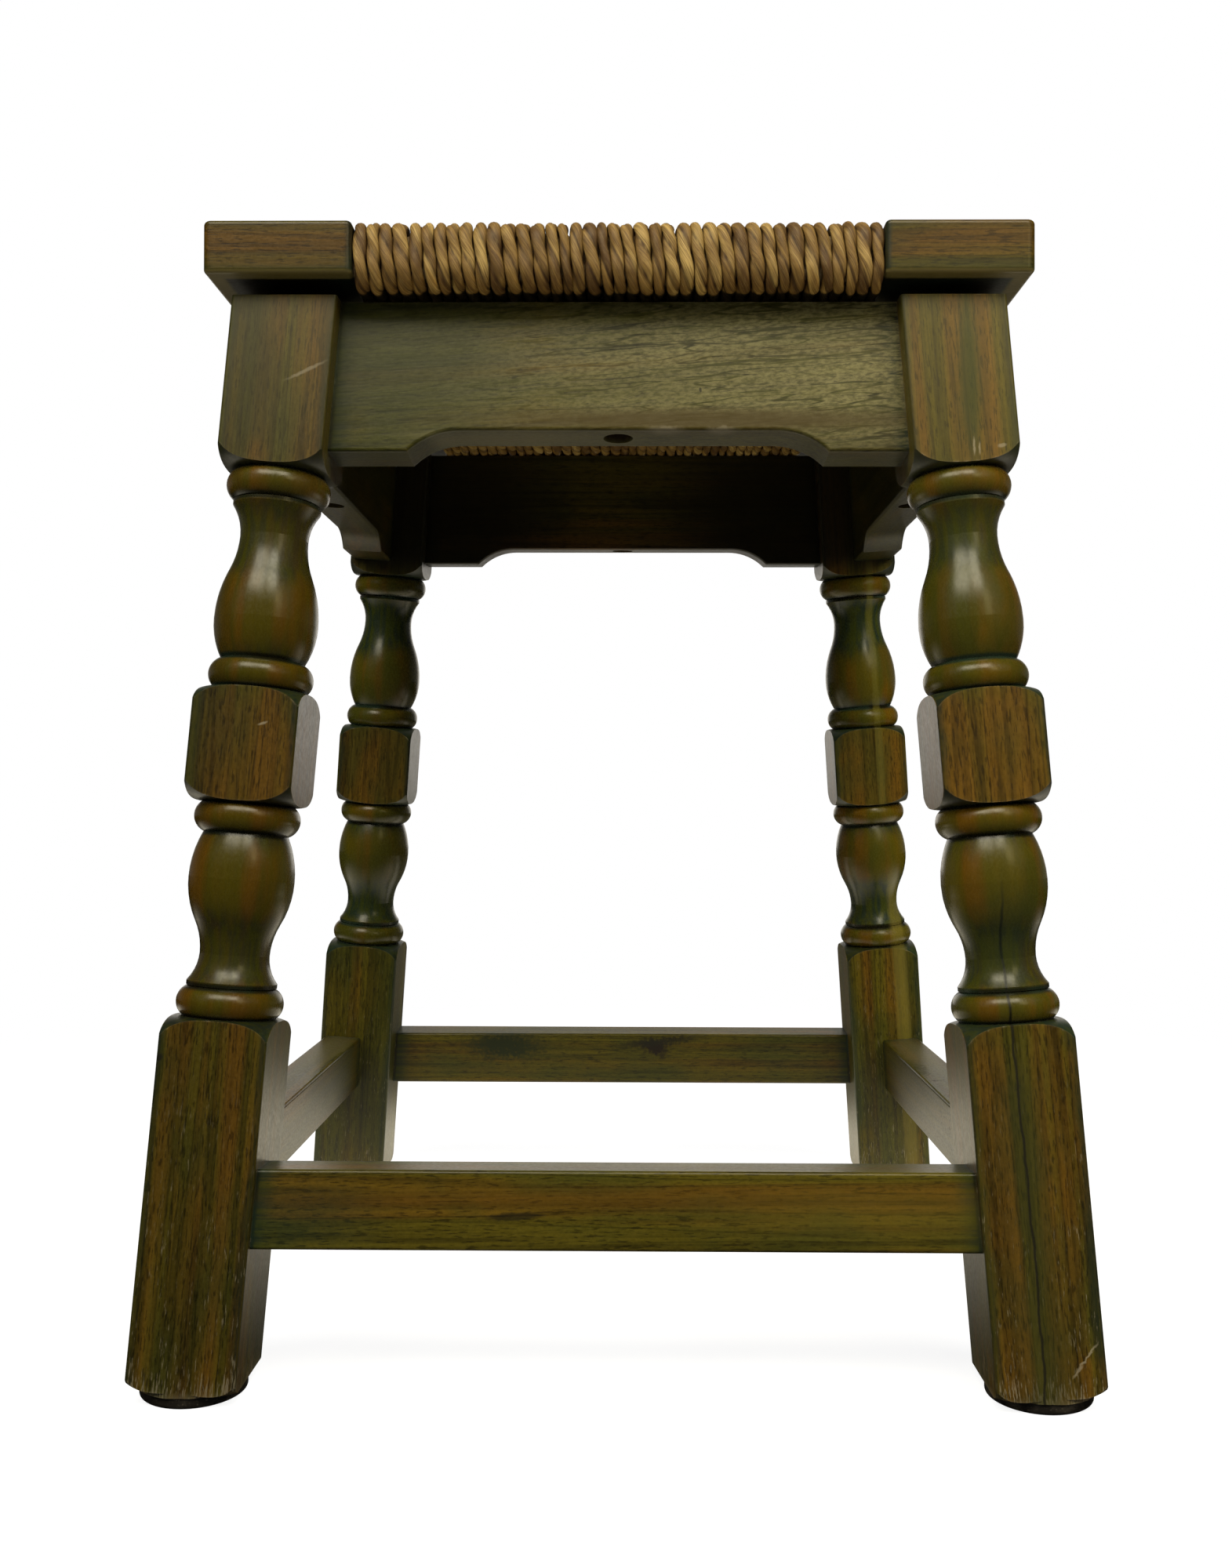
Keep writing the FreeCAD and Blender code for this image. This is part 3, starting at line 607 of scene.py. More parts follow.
RAIL_MARKS = {
    "apron_right": [counterbore(1, SIDE_BORE)],
    "apron_left": [counterbore(3, SIDE_BORE)],
    "apron_rear": [
        counterbore(2, FRONT_BORE),
        # Painted shade: near black at both ends of the rear apron's inner face, under the seat
        patch((95.0, 137.0, 430.0), (62.0, 20.0, 60.0), DARK, 0.0, 0.85, 0.0, 0.6, 6.0),
        patch((-105.0, 137.0, 430.0), (62.0, 20.0, 60.0), DARK, 0.0, 0.85, 0.0, 0.6, 6.0),
    ],
    "apron_front": [
        # Silvery speckle, partly painted sheen
        silvering_and_sheen,
        patch((-105.0, -159.5, 440.0), (52.0, 12.0, 46.0), (0.02, 0.026, 0.006), 0.0, 0.45, 0.0, 0.8, 22.0),
        patch((38.0, -159.5, 410.8), (90.0, 12.0, 4.8), (0.048, 0.031, 0.003), 0.0, 0.88, 0.0, 0.6, 3.0),
        counterbore(0, FRONT_BORE),
        patch((20.9, -160.0, 406.3), (6.5, 6.0, 1.6), PALE, 0.0, 0.45, 0.2, 0.6, 2.5),
        patch((44.6, -160.0, 406.3), (5.5, 6.0, 1.5), PALE, 0.0, 0.45, 0.2, 0.6, 2.5),
        patch((35.5, -158.5, 424.1), (0.6, 3.0, 1.1), DARK, 10.0, 0.8, 0.2, 0.4, 0.5),
        patch((-45.0, -150.0, 404.4), (45.0, 14.0, 2.2), (0.17, 0.145, 0.060), 0.0, 0.5, 0.1, 0.6, 2.0),
    ],
    "stretcher_front": [
        patch((-41.0, -190.5, 76.7), (11.0, 4.0, 1.5), DARK, 3.0, 0.7, 0.1, 0.35, 2.2),
        patch((0.0, -190.5, 84.5), (120.0, 4.0, 4.5), AMBER, 0.0, 0.35, 0.0, 0.8, 4.0),
        patch((108.0, -190.5, 79.0), (62.0, 4.0, 12.0), (0.110, 0.082, 0.008), 0.0, 0.3, 0.0, 0.8, 8.0),
        patch((-128.0, -190.5, 76.0), (26.0, 4.0, 12.0), TEAL, 0.0, 0.4, 0.0, 0.8, 10.0),
    ],
    "stretcher_rear": [
        patch((21.8, 167.8, 84.7), (8.5, 7.0, 4.6), (0.006, 0.003, 0.001), -20.0, 1.0, 0.1, 0.5, 9.0),
        patch((25.0, 167.8, 88.5), (24.0, 7.0, 2.4), DARK, 6.0, 0.9, 0.1, 0.6, 8.0),
        patch((-76.5, 167.8, 86.0), (24.0, 7.0, 9.0), (0.009, 0.012, 0.003), 0.0, 1.0, 0.0, 0.6, 18.0),
    ],
    "stretcher_left": [
        patch((-165.8, 6.0, 94.0), (1.2, 76.0, 1.1), (0.10, 0.055, 0.025), 0.0, 0.7, 0.2, 0.3, 1.6),
        patch((-167.4, 8.0, 95.2), (1.0, 72.0, 1.2), DARK, 0.0, 0.95, 0.2, 0.3, 2.2),
        patch((-178.0, 100.0, 95.1), (12.0, 60.0, 2.0), SCUFFED, 0.0, 0.6, 0.1, 0.6, 6.0),
    ],
    "stretcher_right": [
        patch((178.0, 100.0, 95.1), (12.0, 60.0, 2.0), SCUFFED, 0.0, 0.6, 0.1, 0.6, 6.0),
        patch((170.0, 47.0, 95.1), (5.5, 30.0, 1.5), (0.030, 0.030, 0.006), 0.0, 0.85, 0.1, 0.25, 3.0),
        patch((165.8, 8.0, 94.0), (1.2, 80.0, 1.1), (0.13, 0.09, 0.045), 0.0, 0.7, 0.2, 0.3, 1.6),
        patch((167.4, 0.0, 95.2), (1.0, 70.0, 1.2), DARK, 0.0, 0.95, 0.2, 0.3, 2.2),
        patch((171.5, 13.0, 95.2), (5.0, 2.0, 1.5), DARK, 0.0, 0.8, 0.2, 0.5, 5.0),
        pitting((166.0, -62.0, 78.0), (6.0, 40.0, 12.0)),
    ],
}

# Shares of amber and of green, and lightness
LEG_TONES = {
    "front_right": (0.50, 0.38, 1.12), "rear_right": (0.30, 0.42, 1.75),
    "rear_left": (0.15, 0.55, 1.20), "front_left": (0.52, 0.30, 0.78),
}
BLOCK_TONES = {"right": (0.60, 0.12, 0.88), "left": (0.60, 0.12, 0.72)}

# The same, and the slant of the grain in degrees
BOARD_TONES = {
    "apron_front": (0.20, 0.80, 0.90, 4.0), "apron_rear": (0.35, 0.45, 1.05, 0.0),
    "apron_left": (0.25, 0.60, 0.80, 0.0), "apron_right": (0.25, 0.60, 0.80, 0.0),
    "stretcher_front": (0.28, 0.35, 1.15, 0.6), "stretcher_rear": (0.30, 0.35, 1.40, 0.0),
    "stretcher_left": (0.35, 0.50, 0.95, 0.0), "stretcher_right": (0.35, 0.50, 0.95, 0.0),
}
WARM_LENGTH = (242, 290, 0.7)    # heights between which a leg is more amber, and how much


# Other finishes

def bare_wood():
    net = Net("bare_wood")
    grain = net.stretched(net.place, (140, 140, 420), 4, 0.6, 0.4)
    pores = net.stretched(net.place, (300, 300, 1800), 2, 0.5)
    colour = net.mix(net.span(grain, 0.35, 0.7), (0.50, 0.36, 0.20), (0.33, 0.21, 0.10))
    colour = net.mix(net.span(pores, 0.6, 0.7, 0.0, 0.5), colour, (0.16, 0.09, 0.04))
    return net.finish(colour, net.span(grain, 0.3, 0.7, 0.55, 0.7), net.bump(pores, 0.2, 0.2), 0.3)


def glide_rubber():
    net = Net("glide")
    grime = net.noise(net.place, 90, 4, 0.6, 0.5)
    grit = net.noise(net.place, 1400, 2, 0.5)
    colour = net.mix(net.span(grime, 0.45, 0.68), (0.010, 0.008, 0.006), (0.035, 0.028, 0.018))
    colour = net.mix(net.span(grit, 0.62, 0.74, 0.0, 0.5), colour, (0.10, 0.085, 0.06))
    return net.finish(colour, net.span(grime, 0.3, 0.7, 0.42, 0.7), net.bump(grit, 0.3, 0.15), 0.4)


def dull_steel():
    net = Net("steel")
    stain = net.noise(net.place, 260, 4, 0.6)
    scratch = net.stretched(net.place, (2600, 2600, 300), 2, 0.5)
    colour = net.mix(net.span(stain, 0.45, 0.65), (0.36, 0.34, 0.31), (0.13, 0.085, 0.05))
    net.shader.inputs["Metallic"].default_value = 1.0
    return net.finish(colour, net.span(stain, 0.3, 0.7, 0.32, 0.6), net.bump(scratch, 0.15, 0.1))


RUSH_BROWN = (0.070, 0.034, 0.008)
RUSH_TAN = (0.185, 0.105, 0.024)
RUSH_STRAW = (0.37, 0.245, 0.072)
RUSH_FIBRE = (0.062, 0.029, 0.007)
RUSH_GLINT = (0.38, 0.27, 0.090)
# Painted shade in the grooves between the plies and where strands meet
RUSH_GROOVE_SHADE = (0.024, 0.010, 0.003)
# Painted shade on the rush's underside along the aprons
RUSH_PAINTED_SHADE = (0.008, 0.004, 0.001)
RAIL_INNER, RAIL_OUTER = 150.0, 165.0    # where the rush lies between the side rails and the aprons


def rush_tone(net, fibre, tone, groove):
    """Brown, tan and straw by strand and leaf, with dark fibres, pale hairs and painted shade in the
    grooves.
    """
    leaf = net.stretched(fibre, (1.6, 1.6, 0.35), 2, 0.5)
    thread = net.stretched(fibre, (7.0, 7.0, 0.5), 3, 0.6)
    hair = net.stretched(fibre, (22.0, 22.0, 1.2), 2, 0.5)
    blotch = net.noise(net.place, 42, 3, 0.55)
    shade = net.plus(net.plus(tone, net.sway(leaf, 0.9)), net.sway(blotch, 0.8))
    colour = net.mix(net.span(shade, 0.15, 0.55), RUSH_BROWN, RUSH_TAN)
    colour = net.mix(net.span(shade, 0.55, 0.95), colour, RUSH_STRAW)
    colour = net.mix(net.span(thread, 0.60, 0.36, 0.0, 0.70), colour, RUSH_FIBRE)
    colour = net.mix(net.span(hair, 0.54, 0.72, 0.0, 0.45), colour, RUSH_GLINT)
    return net.mix(net.span(groove, 0.40, 0.95, 0.0, 0.85), colour, RUSH_GROOVE_SHADE), thread, hair


def rush_painted_light(net, colour):
    """Painted light under the seat and on its lower outer edge, and near-black painted shade on the
    underside along the aprons.
    """
    x, y, z = net.split(net.place)
    reach = net.reach(x, y)
    below = net.fade(z, 468, 465)
    # Painted light: the underside inside the rails made lighter
    shown = net.times(below, net.fade(reach, RAIL_INNER, RAIL_INNER - 10.0))
    colour = net.mix(shown, colour, net.scaled(colour, (2.2, 2.2, 2.0)))
    # Painted light on the lower outer edge of the seat
    painted_lip_light = net.times(net.fade(z, 470, 464), net.fade(reach, RAIL_OUTER - 2.5, RAIL_OUTER))
    colour = net.mix(painted_lip_light, colour, net.scaled(colour, (1.7, 1.6, 1.4)))
    # Painted shade: near black on the underside along the aprons
    painted_shade_band = net.times(net.fade(reach, RAIL_INNER, RAIL_INNER + 5.0, 0.0, 0.95),
                       net.fade(reach, RAIL_OUTER, RAIL_OUTER - 2.5))
    return net.mix(net.times(below, painted_shade_band), colour, RUSH_PAINTED_SHADE)


def rush_finish(name, cord):
    """Dried rush: fibres that follow the twist, painted shade in the grooves, each strand with its own
    tone.
    """
    net = Net(name)
    if cord:
        fibre = net.add("ShaderNodeAttribute", attribute_name="fibre").outputs["Vector"]
        tone = net.add("ShaderNodeAttribute", attribute_name="tone").outputs["Fac"]
        groove = net.add("ShaderNodeAttribute", attribute_name="groove").outputs["Fac"]
    else:
        fibre, tone, groove = net.vector("MULTIPLY", net.place, (60, 60, 60)), 0.35, 0.5
    colour, thread, hair = rush_tone(net, fibre, tone, groove)
    normal = net.bump(net.plus(thread, net.times(hair, 0.5)), 0.35, 0.4)
    return net.finish(rush_painted_light(net, colour), net.span(thread, 0.3, 0.7, 0.62, 0.45), normal, 0.35)


# Rush seat: strands of twisted rush over the rails

STRANDS = 39               # on each side of the seat
RING_POINTS = 16
BEND_STEPS = 6
RISE_STEPS = 4
LOWER_STEP, UPPER_STEP = 2.4, 2.0    # spacing of a route's points below and above

# How strands vary: lowest and highest, or mean and deviation
STRAND_WIDTH = (0.80, 1.20)
STRAND_THICKNESS = (0.94, 1.07)
PLY_DEPTH = (0.28, 0.40)
TWIST_PITCH = (25.0, 36.0)
STRAND_TONE = (0.52, 0.12)
STRAND_LEAN = (0.095, 0.02)
LEAN_REACH = 15.0          # height up and down from the middle over which a strand leans
LEAN_IN, LEAN_FADE = 12.0, 40.0    # how far in from the edge the lean holds, and how slowly it goes
LEAN_ROOM = 14.0           # nearer than this to a corner block, strands stand straighter
STRAND_OVERLAP = 1.03      # strands press into each other
FIELD_GAP = 0.3            # beside the corner blocks
SEAM_DIPS = (1.2, -0.2)    # how the front and rear fields, and the side fields, end at the seams


def smooth_noise(value, seed):
    return noise.noise(Vector((value, seed * 7.31, seed * 2.17)))


def crown_swell(share):
    """Height of the crown at a share of the way in, as a share of its peak."""
    return max(0.0, math.sin(math.pi * share ** (math.log(0.5) / math.log(CROWN_PLACE))))


def strand_route(across, seam_dip):
    """Middle line of a front strand at one place across its field, as (Y, Z) points from below to above."""
    radius = CORD / 2
    reach = abs(across)
    crown = CROWN * (RUSH_OUTER - reach) / RUSH_OUTER
    seam = -reach
    dip = seam - SEAM_WIDTH
    edge = -RUSH_OUTER + EDGE_ROUND
    bend = EDGE_ROUND - radius
    low, high = RUSH_BOTTOM + radius, RUSH_TOP - radius

    # Below, out from the seam and round the lower edge
    points = [(seam + 1.5, low + seam_dip + 1.5)]
    steps = max(4, round((dip - edge) / LOWER_STEP))
    for step in range(steps + 1):
        share = step / steps
        sag = SEAM_DEPTH * 0.5 * max(0.0, 1 - share * steps / 3) ** 2
        points.append((dip + (edge - dip) * share, low + sag))
    for step in range(1, BEND_STEPS + 1):
        angle = math.radians(90 * step / BEND_STEPS)
        points.append((edge - bend * math.sin(angle), low + bend - bend * math.cos(angle)))

    # Up the outer side and round the upper edge
    rise = high - bend - (low + bend)
    for step in range(1, RISE_STEPS):
        points.append((edge - bend, low + bend + rise * step / RISE_STEPS))
    for step in range(BEND_STEPS + 1):
        angle = math.radians(90 * step / BEND_STEPS)
        points.append((edge - bend * math.cos(angle), high - bend + bend * math.sin(angle)))

    # Above, over the crown and down into the seam
    steps = max(4, round((dip - edge) / UPPER_STEP))
    for step in range(1, steps + 1):
        share = step / steps
        sag = SEAM_DEPTH * 0.4 * max(0.0, 1 - (1 - share) * steps / 3) ** 2
        points.append((edge + (dip - edge) * share, high + crown * crown_swell(share) - sag))
    points.append((dip + SEAM_WIDTH * 0.5, high - SEAM_DEPTH * 0.45))
    points.append((seam + 1.0, high - SEAM_DEPTH * 0.7 - seam_dip))
    points.append((seam + 2.5, high - SEAM_DEPTH - seam_dip - 2.5))
    return points


def lay_strand(across, width, seed, quarters, dip, vertices, faces, fibres, tones, grooves):
    """One strand as a tube of two twisted plies with closed ends, turned to its side of the seat."""
    chance = random.Random(seed)
    route = strand_route(across, dip)
    turn = turn_matrix(quarters)
    wide = width / 2 * STRAND_OVERLAP
    thick = CORD / 2 * chance.uniform(*STRAND_THICKNESS)
    depth = chance.uniform(*PLY_DEPTH)
    pitch = chance.uniform(*TWIST_PITCH)
    phase = chance.uniform(0, 2 * math.pi)
    tone = chance.gauss(*STRAND_TONE)
    lean = chance.gauss(*STRAND_LEAN) * min(1.0, (BLOCK_INNER - abs(across)) / LEAN_ROOM)
    start = len(vertices)
    length = 0.0
    middle_height = (RUSH_TOP + RUSH_BOTTOM) / 2

    def wave(amount, spacing, shift=0.0):
        """Slow change along the strand."""
        return amount * smooth_noise(length / spacing, seed + shift)

    for count, (y, z) in enumerate(route):
        before = route[max(count - 1, 0)]
        after = route[min(count + 1, len(route) - 1)]
        along = Vector((0, after[0] - before[0], after[1] - before[1])).normalized()
        out = Vector((0, -along.z, along.y))
        side = Vector((1, 0, 0))
        if count:
            length += math.hypot(y - route[count - 1][0], z - route[count - 1][1])
        rising = max(-1.0, min(1.0, (z - middle_height) / LEAN_REACH))
        inward = max(0.0, 1 - max(0.0, y + RUSH_OUTER - LEAN_IN) / LEAN_FADE)
        swing = wave(0.22, 24.0) - lean * LEAN_REACH * rising * inward
        lift = wave(0.5 if z < middle_height else 0.25, 14.0, 400.0)
        centre = Vector((across + swing, y, z)) + out * lift
        twist = 2 * math.pi * (length + wave(3.0, 40.0, 90.0)) / pitch
        swell = 1 + wave(0.07, 11.0, 200.0)
        for point in range(RING_POINTS):
            angle = 2 * math.pi * point / RING_POINTS
            lay = angle - twist + phase
            ply = abs(math.cos(lay)) ** 0.7
            ridge = wave(0.025, 9.0, 11.0 * point + 500.0)
            radius = swell * (1.05 - depth * (1 - ply) + ridge)
            outward = out * (thick * radius * math.sin(angle))
            spot = centre + side * (wide * radius * math.cos(angle)) + outward
            vertices.append(tuple(turn @ spot * MM))
            fibres.append((math.cos(lay) + seed * 3.7, math.sin(lay), length / 5.0 + seed))
            tones.append(tone + wave(math.copysign(0.50, math.cos(lay)), 30.0, 70.0))
            # Share of painted shade: in the groove between the plies, and at the sides where strands meet
            grooves.append(max(1 - ply, 0.95 * abs(math.cos(angle)) ** 6))
    rings = len(route)
    for ring in range(rings - 1):
        for point in range(RING_POINTS):
            a = start + ring * RING_POINTS + point
            b = start + ring * RING_POINTS + (point + 1) % RING_POINTS
            faces.append((a, b, b + RING_POINTS, a + RING_POINTS))
    faces.append(tuple(start + point for point in reversed(range(RING_POINTS))))
    faces.append(tuple(start + (rings - 1) * RING_POINTS + point for point in range(RING_POINTS)))


def new_piece(name, vertices, faces, material):
    mesh = bpy.data.meshes.new(name)
    mesh.from_pydata(vertices, [], faces)
    mesh.validate()
    mesh.shade_smooth()
    mesh.materials.append(material)
    piece = bpy.data.objects.new(name, mesh)
    bpy.context.scene.collection.objects.link(piece)
    return piece


def rush_field(side, quarters, material):
    """All the strands of one side of the seat."""
    vertices, faces, fibres, tones, grooves = [], [], [], [], []
    chance = random.Random(side)
    widths = [chance.uniform(*STRAND_WIDTH) for _ in range(STRANDS)]
    room = 2 * (BLOCK_INNER - FIELD_GAP)
    scale = room / sum(widths)
    dip = SEAM_DIPS[quarters % 2]
    edge = -room / 2
    for count, width in enumerate(widths):
        width *= scale
        lay_strand(edge + width / 2, width, 1000 * quarters + count + 1, quarters, dip,
                   vertices, faces, fibres, tones, grooves)
        edge += width
    piece = new_piece("rush_" + side, vertices, faces, material)
    mesh = piece.data
    mesh.attributes.new("fibre", "FLOAT_VECTOR", "POINT").data.foreach_set(
        "vector", [value for fibre in fibres for value in fibre])
    mesh.attributes.new("tone", "FLOAT", "POINT").data.foreach_set("value", tones)
    mesh.attributes.new("groove", "FLOAT", "POINT").data.foreach_set("value", grooves)
    return piece


def rush_stuffing(material):
    """Packed stuffing between the upper and lower strands, inside the rails. It is a cross of square cells,
    whose arms pass between the corner blocks."""
    half, arm = 136.0, 111.5
    cell = half / 34
    inset = CORD / 2 + 0.6
    middle_low, middle_high = RUSH_BOTTOM + inset, RUSH_TOP - inset

    def heights(x, y):
        reach, across = max(abs(x), abs(y)), min(abs(x), abs(y))
        crown = CROWN * (RUSH_OUTER - across) / RUSH_OUTER
        edge, dip = RUSH_OUTER - EDGE_ROUND, across + SEAM_WIDTH
        share = min(1.0, max(0.0, (edge - reach) / max(edge - dip, 1.0)))
        seam = SEAM_DEPTH * max(0.0, 1 - (reach - across) / SEAM_WIDTH)
        return middle_low + seam, middle_high + crown * crown_swell(share) - seam

    places, vertices, faces = {}, [], []
    count = round(2 * half / cell)

    def inside(i, j):
        x, y = -half + (i + 0.5) * cell, -half + (j + 0.5) * cell
        return 0 <= i < count and 0 <= j < count and (abs(x) < arm or abs(y) < arm)

    def corner(i, j, top):
        key = (i, j, top)
        if key not in places:
            x, y = -half + i * cell, -half + j * cell
            places[key] = len(vertices)
            vertices.append((x * MM, y * MM, heights(x, y)[top] * MM))
        return places[key]

    for i in range(count):
        for j in range(count):
            if not inside(i, j):
                continue
            ring = ((i, j), (i + 1, j), (i + 1, j + 1), (i, j + 1))
            faces.append(tuple(corner(a, b, 1) for a, b in ring))
            faces.append(tuple(corner(a, b, 0) for a, b in reversed(ring)))
            for (a, b), (c, d), (k, l) in ((ring[0], ring[1], (i, j - 1)), (ring[1], ring[2], (i + 1, j)),
                                           (ring[2], ring[3], (i, j + 1)), (ring[3], ring[0], (i - 1, j))):
                if not inside(k, l):
                    faces.append((corner(a, b, 0), corner(c, d, 0), corner(c, d, 1), corner(a, b, 1)))
    return new_piece("rush_stuffing", vertices, faces, material)


# Every piece gets its finish

def set_finish(node, material):
    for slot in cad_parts[node].material_slots:
        slot.material = material


for quarters, corner in enumerate(CORNERS):
    end, side = corner.split("_")
    tones = LEG_TONES[corner]
    piece = Piece("leg_" + corner, *leg_frame(quarters), *tones, marks=LEG_MARKS[corner], warm=WARM_LENGTH)
    set_finish(piece.name, stained_wood(piece, leg_glaze if end == "front" else rear_leg_glaze))
    axes, origin = board_frame(0 if end == "front" else 2)
    piece = Piece("corner_block_" + corner, axes, origin, *BLOCK_TONES[side], marks=[painted_lit_overhang])
    set_finish(piece.name, stained_wood(piece, block_glaze_and_shade))

for quarters, side in enumerate(SIDES):
    for kind in ("apron_", "stretcher_"):
        name = kind + side
        piece = Piece(name, *board_frame(quarters), *BOARD_TONES[name], RAIL_MARKS.get(name, ()))
        set_finish(name, stained_wood(piece, board_glaze))

bare, rubber, steel = bare_wood(), glide_rubber(), dull_steel()
for side in SIDES:
    set_finish("seat_rail_" + side, bare)
for corner in CORNERS:
    set_finish("glide_" + corner, rubber)
for node, material in (("apron_dowels", bare), ("stretcher_dowels", bare),
                       ("seat_screws", steel), ("glide_nails", steel)):
    set_finish(node, material)

cord_finish = rush_finish("rush_cord", True)
soft_pieces = [rush_field(side, quarters, cord_finish) for quarters, side in enumerate(SIDES)]
soft_pieces.append(rush_stuffing(rush_finish("rush_stuffing", False)))
for piece in soft_pieces:
    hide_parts("rush_seat")
    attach(piece, "root")


# Floor, lights and camera

FLOOR_GLOW = 1.5           # how bright the floor and the world behind the stool look in the wood
BACK_GLOW = 1.5
FLOOR_TINT = (1.0, 0.91, 0.70)
BACK_TINT = (1.0, 0.95, 0.85)
NEAR_GLOW = 0.86           # what the floor near the stool adds to its lit paper for the camera
WORLD_LIGHT = 0.16
FLOOR_RINGS = (0.5, 1.5, 8.0)
FLOOR_POINTS = 48


def make_floor():
    """Pale floor with a soft shadow near the stool. Its far part is plain white to the camera, so that it
    meets the background unseen, and its mirror image in the wood is bright only behind the stool."""
    net = Net("floor")
    path = net.add("ShaderNodeLightPath").outputs
    paper = net.noise(net.place, 300, 2, 0.5)
    net.finish(net.mix(paper, (0.26, 0.26, 0.26), (0.29, 0.29, 0.29)), 0.9, None, 0.1)
    near = net.add("ShaderNodeAddShader")
    net.feed(near.inputs[0], net.shader.outputs[0])
    net.feed(near.inputs[1], net.glow(NEAR_GLOW))
    distance = net.vector("LENGTH", net.place)
    shown = net.pick(net.span(distance, 0.45, 0.95), near.outputs[0], net.glow(1.0))
    across, depth = net.split(net.place)[:2]
    bright = net.times(net.span(depth, -0.2, 0.25), net.span(depth, 0.44, 0.27, 0.08, 1.0))
    bright = net.times(bright, net.span(net.size(across), 1.0, 0.45))
    mirrored = net.glow(net.times(bright, FLOOR_GLOW), FLOOR_TINT)
    share = net.larger(path["Is Glossy Ray"], path["Is Transmission Ray"])
    unseen = net.pick(share, net.shader.outputs[0], mirrored)
    net.feed(net.nodes["Material Output"].inputs["Surface"], net.pick(path["Is Camera Ray"], unseen, shown))

    vertices, faces = [(0.0, 0.0, 0.0)], []
    for radius in FLOOR_RINGS:
        for count in range(FLOOR_POINTS):
            angle = 2 * math.pi * count / FLOOR_POINTS
            vertices.append((radius * math.cos(angle), radius * math.sin(angle), 0.0))
    starts = [1 + FLOOR_POINTS * ring for ring in range(len(FLOOR_RINGS))]
    for count in range(FLOOR_POINTS):
        after = (count + 1) % FLOOR_POINTS
        faces.append((0, starts[0] + count, starts[0] + after))
        for inner, outer in zip(starts, starts[1:]):
            faces.append((inner + count, outer + count, outer + after, inner + after))
    new_piece("studio_floor", vertices, faces, net.material)


def make_world():
    """White to the camera, a soft light all round, and mirrored in the wood only behind the stool."""
    world = bpy.data.worlds.new("studio")
    bpy.context.scene.world = world
    world.use_nodes = True
    world.node_tree.nodes.clear()
    net = Nodes(world.node_tree, "ShaderNodeBackground")
    path = net.add("ShaderNodeLightPath").outputs
    across, depth, height = net.split(net.add("ShaderNodeTexCoord").outputs["Generated"])
    behind = net.span(depth, -0.1, 0.6, 0.0, BACK_GLOW)
    behind = net.times(behind, net.span(net.size(across), 0.60, 0.30, 0.1, 1.0))
    mirrored = net.glow(net.times(behind, net.span(height, 0.45, 0.05, 0.12, 1.0)), BACK_TINT)
    share = net.larger(path["Is Glossy Ray"], path["Is Transmission Ray"])
    unseen = net.pick(share, net.glow(WORLD_LIGHT), mirrored)
    output = net.add("ShaderNodeOutputWorld")
    net.feed(output.inputs["Surface"], net.pick(path["Is Camera Ray"], unseen, net.glow(1.0)))


WARM = (1.0, 0.92, 0.70)
YELLOW = (1.0, 0.85, 0.42)

# Name, place, height of the point that it is aimed at, width, height, power and mirrored colour
LAMPS = (
    ("light_left", (-1.05, -0.85, 1.10), 0.33, 0.6, 0.8, 9.5, None),
    ("light_right", (1.05, -0.85, 1.15), 0.33, 0.6, 0.8, 12.5, None),
    ("light_top", (0.0, 0.2, 2.2), 0.30, 1.4, 1.4, 8.0, None),
    ("light_back", (0.35, 1.45, 1.15), 0.30, 0.9, 0.9, 9.0, None),
    ("window_left", (-0.50, -1.15, 1.62), 0.35, 0.95, 0.70, 17.0, WARM),
    ("window_right", (0.38, -1.25, 1.72), 0.35, 0.62, 0.70, 13.5, WARM),
    ("window_far", (0.80, -1.30, 1.05), 0.40, 0.30, 0.50, 2.0, YELLOW),
)


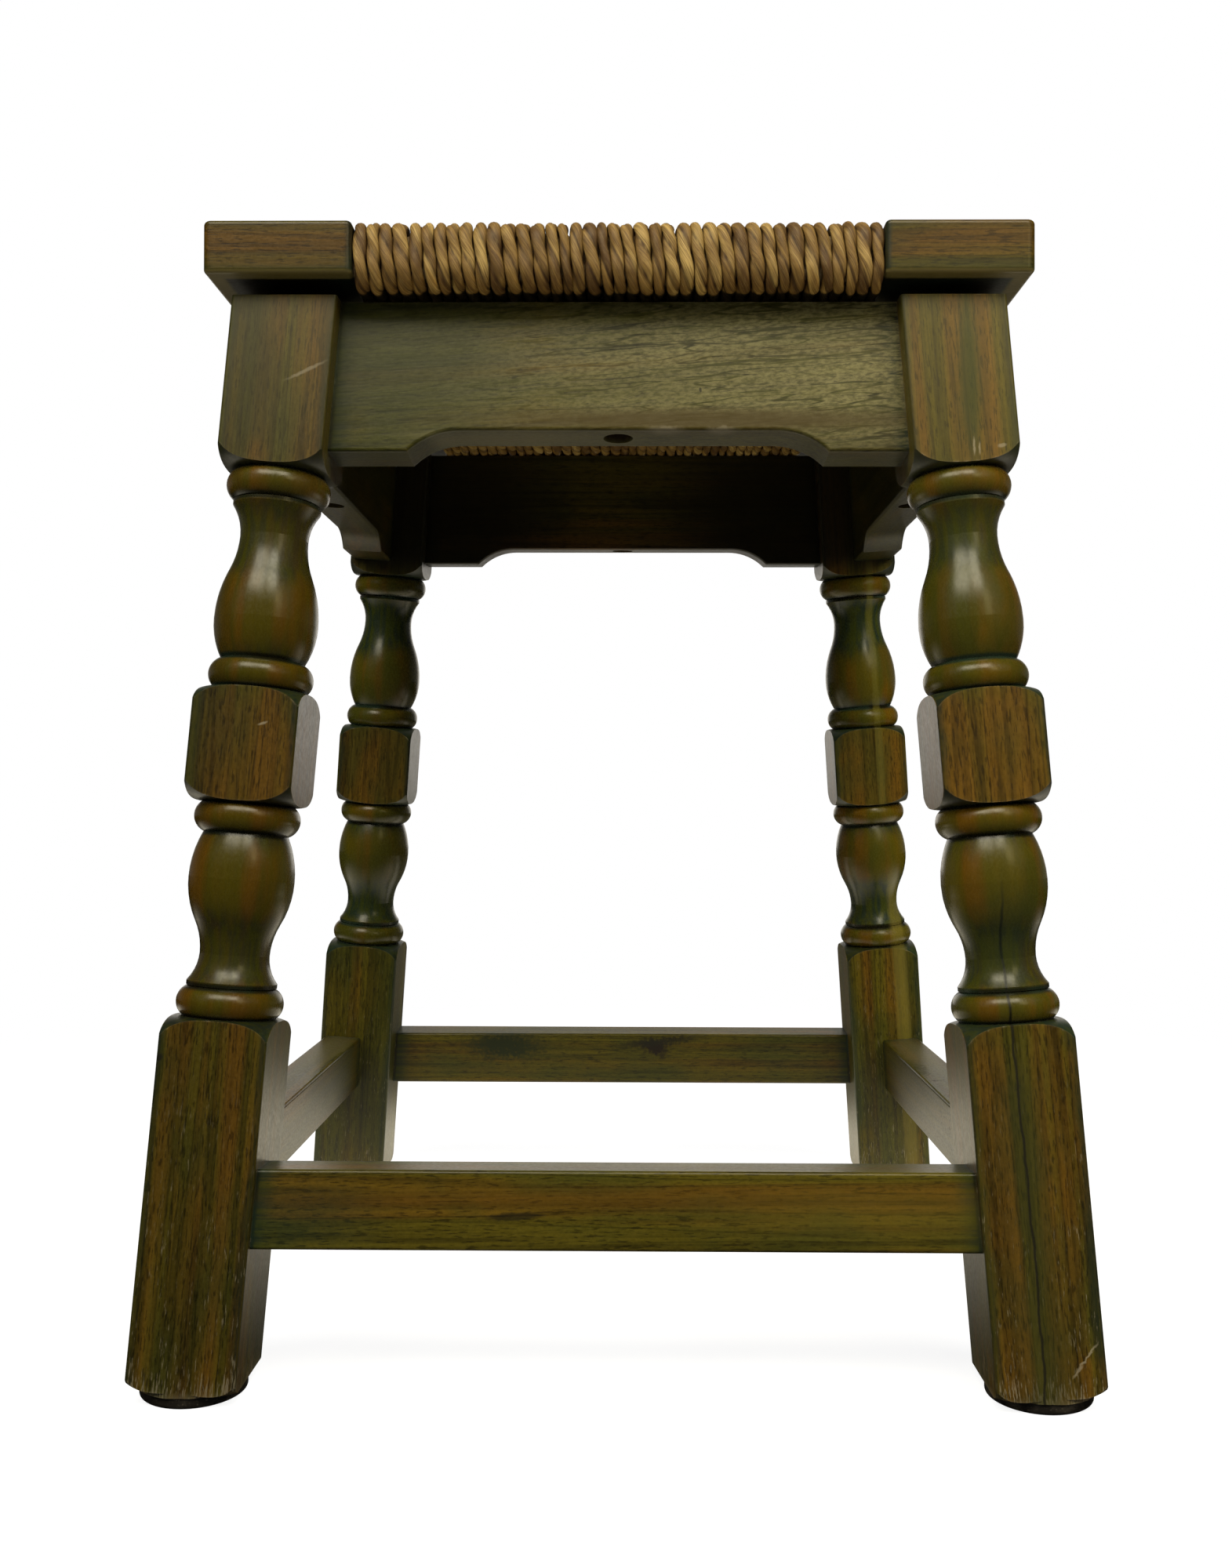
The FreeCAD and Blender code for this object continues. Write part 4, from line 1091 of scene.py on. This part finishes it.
def soft_light(name, place, aim_height, width, height, power, mirrored):
    """Area lamp. Only the lamps given a mirrored colour show as highlights on glossy wood."""
    lamp = bpy.data.lights.new(name, "AREA")
    lamp.shape = "RECTANGLE"
    lamp.size, lamp.size_y = width, height
    lamp.energy = power
    holder = bpy.data.objects.new(name, lamp)
    holder.location = place
    aim = Vector((0, 0, aim_height)) - Vector(place)
    holder.rotation_euler = aim.to_track_quat("-Z", "Y").to_euler()
    holder.visible_glossy = mirrored is not None
    if mirrored:
        lamp.color = mirrored
    bpy.context.scene.collection.objects.link(holder)


CAMERA_PLACE = (6.28692, -790.03936, 248.57731)    # millimetres
CAMERA_YAW, CAMERA_PITCH, CAMERA_ROLL = 0.0107, 0.00825, 0.00248    # radians
FOCAL_PIXELS = 1869.73
FRAME_PIXELS = 2000        # height of the frame
SENSOR = 36.0


def make_camera():
    right = Vector((math.cos(CAMERA_YAW), math.sin(CAMERA_YAW), 0))
    level = Vector((-math.sin(CAMERA_YAW), math.cos(CAMERA_YAW), 0))
    rise = Vector((0, 0, 1))
    forward = math.cos(CAMERA_PITCH) * level + math.sin(CAMERA_PITCH) * rise
    up = -math.sin(CAMERA_PITCH) * level + math.cos(CAMERA_PITCH) * rise
    side = math.cos(CAMERA_ROLL) * right + math.sin(CAMERA_ROLL) * up
    over = -math.sin(CAMERA_ROLL) * right + math.cos(CAMERA_ROLL) * up
    data = bpy.data.cameras.new("camera")
    data.sensor_fit = "VERTICAL"
    data.sensor_height = SENSOR
    data.lens = SENSOR * FOCAL_PIXELS / FRAME_PIXELS
    data.clip_start, data.clip_end = 0.01, 50.0
    camera = bpy.data.objects.new("camera", data)
    turn = Matrix((side, over, -forward)).transposed().to_4x4()
    camera.matrix_world = Matrix.Translation(Vector(CAMERA_PLACE) * MM) @ turn
    bpy.context.scene.collection.objects.link(camera)
    bpy.context.scene.camera = camera


make_floor()
make_world()
for lamp in LAMPS:
    soft_light(*lamp)
make_camera()
bpy.context.scene.view_settings.view_transform = "Standard"
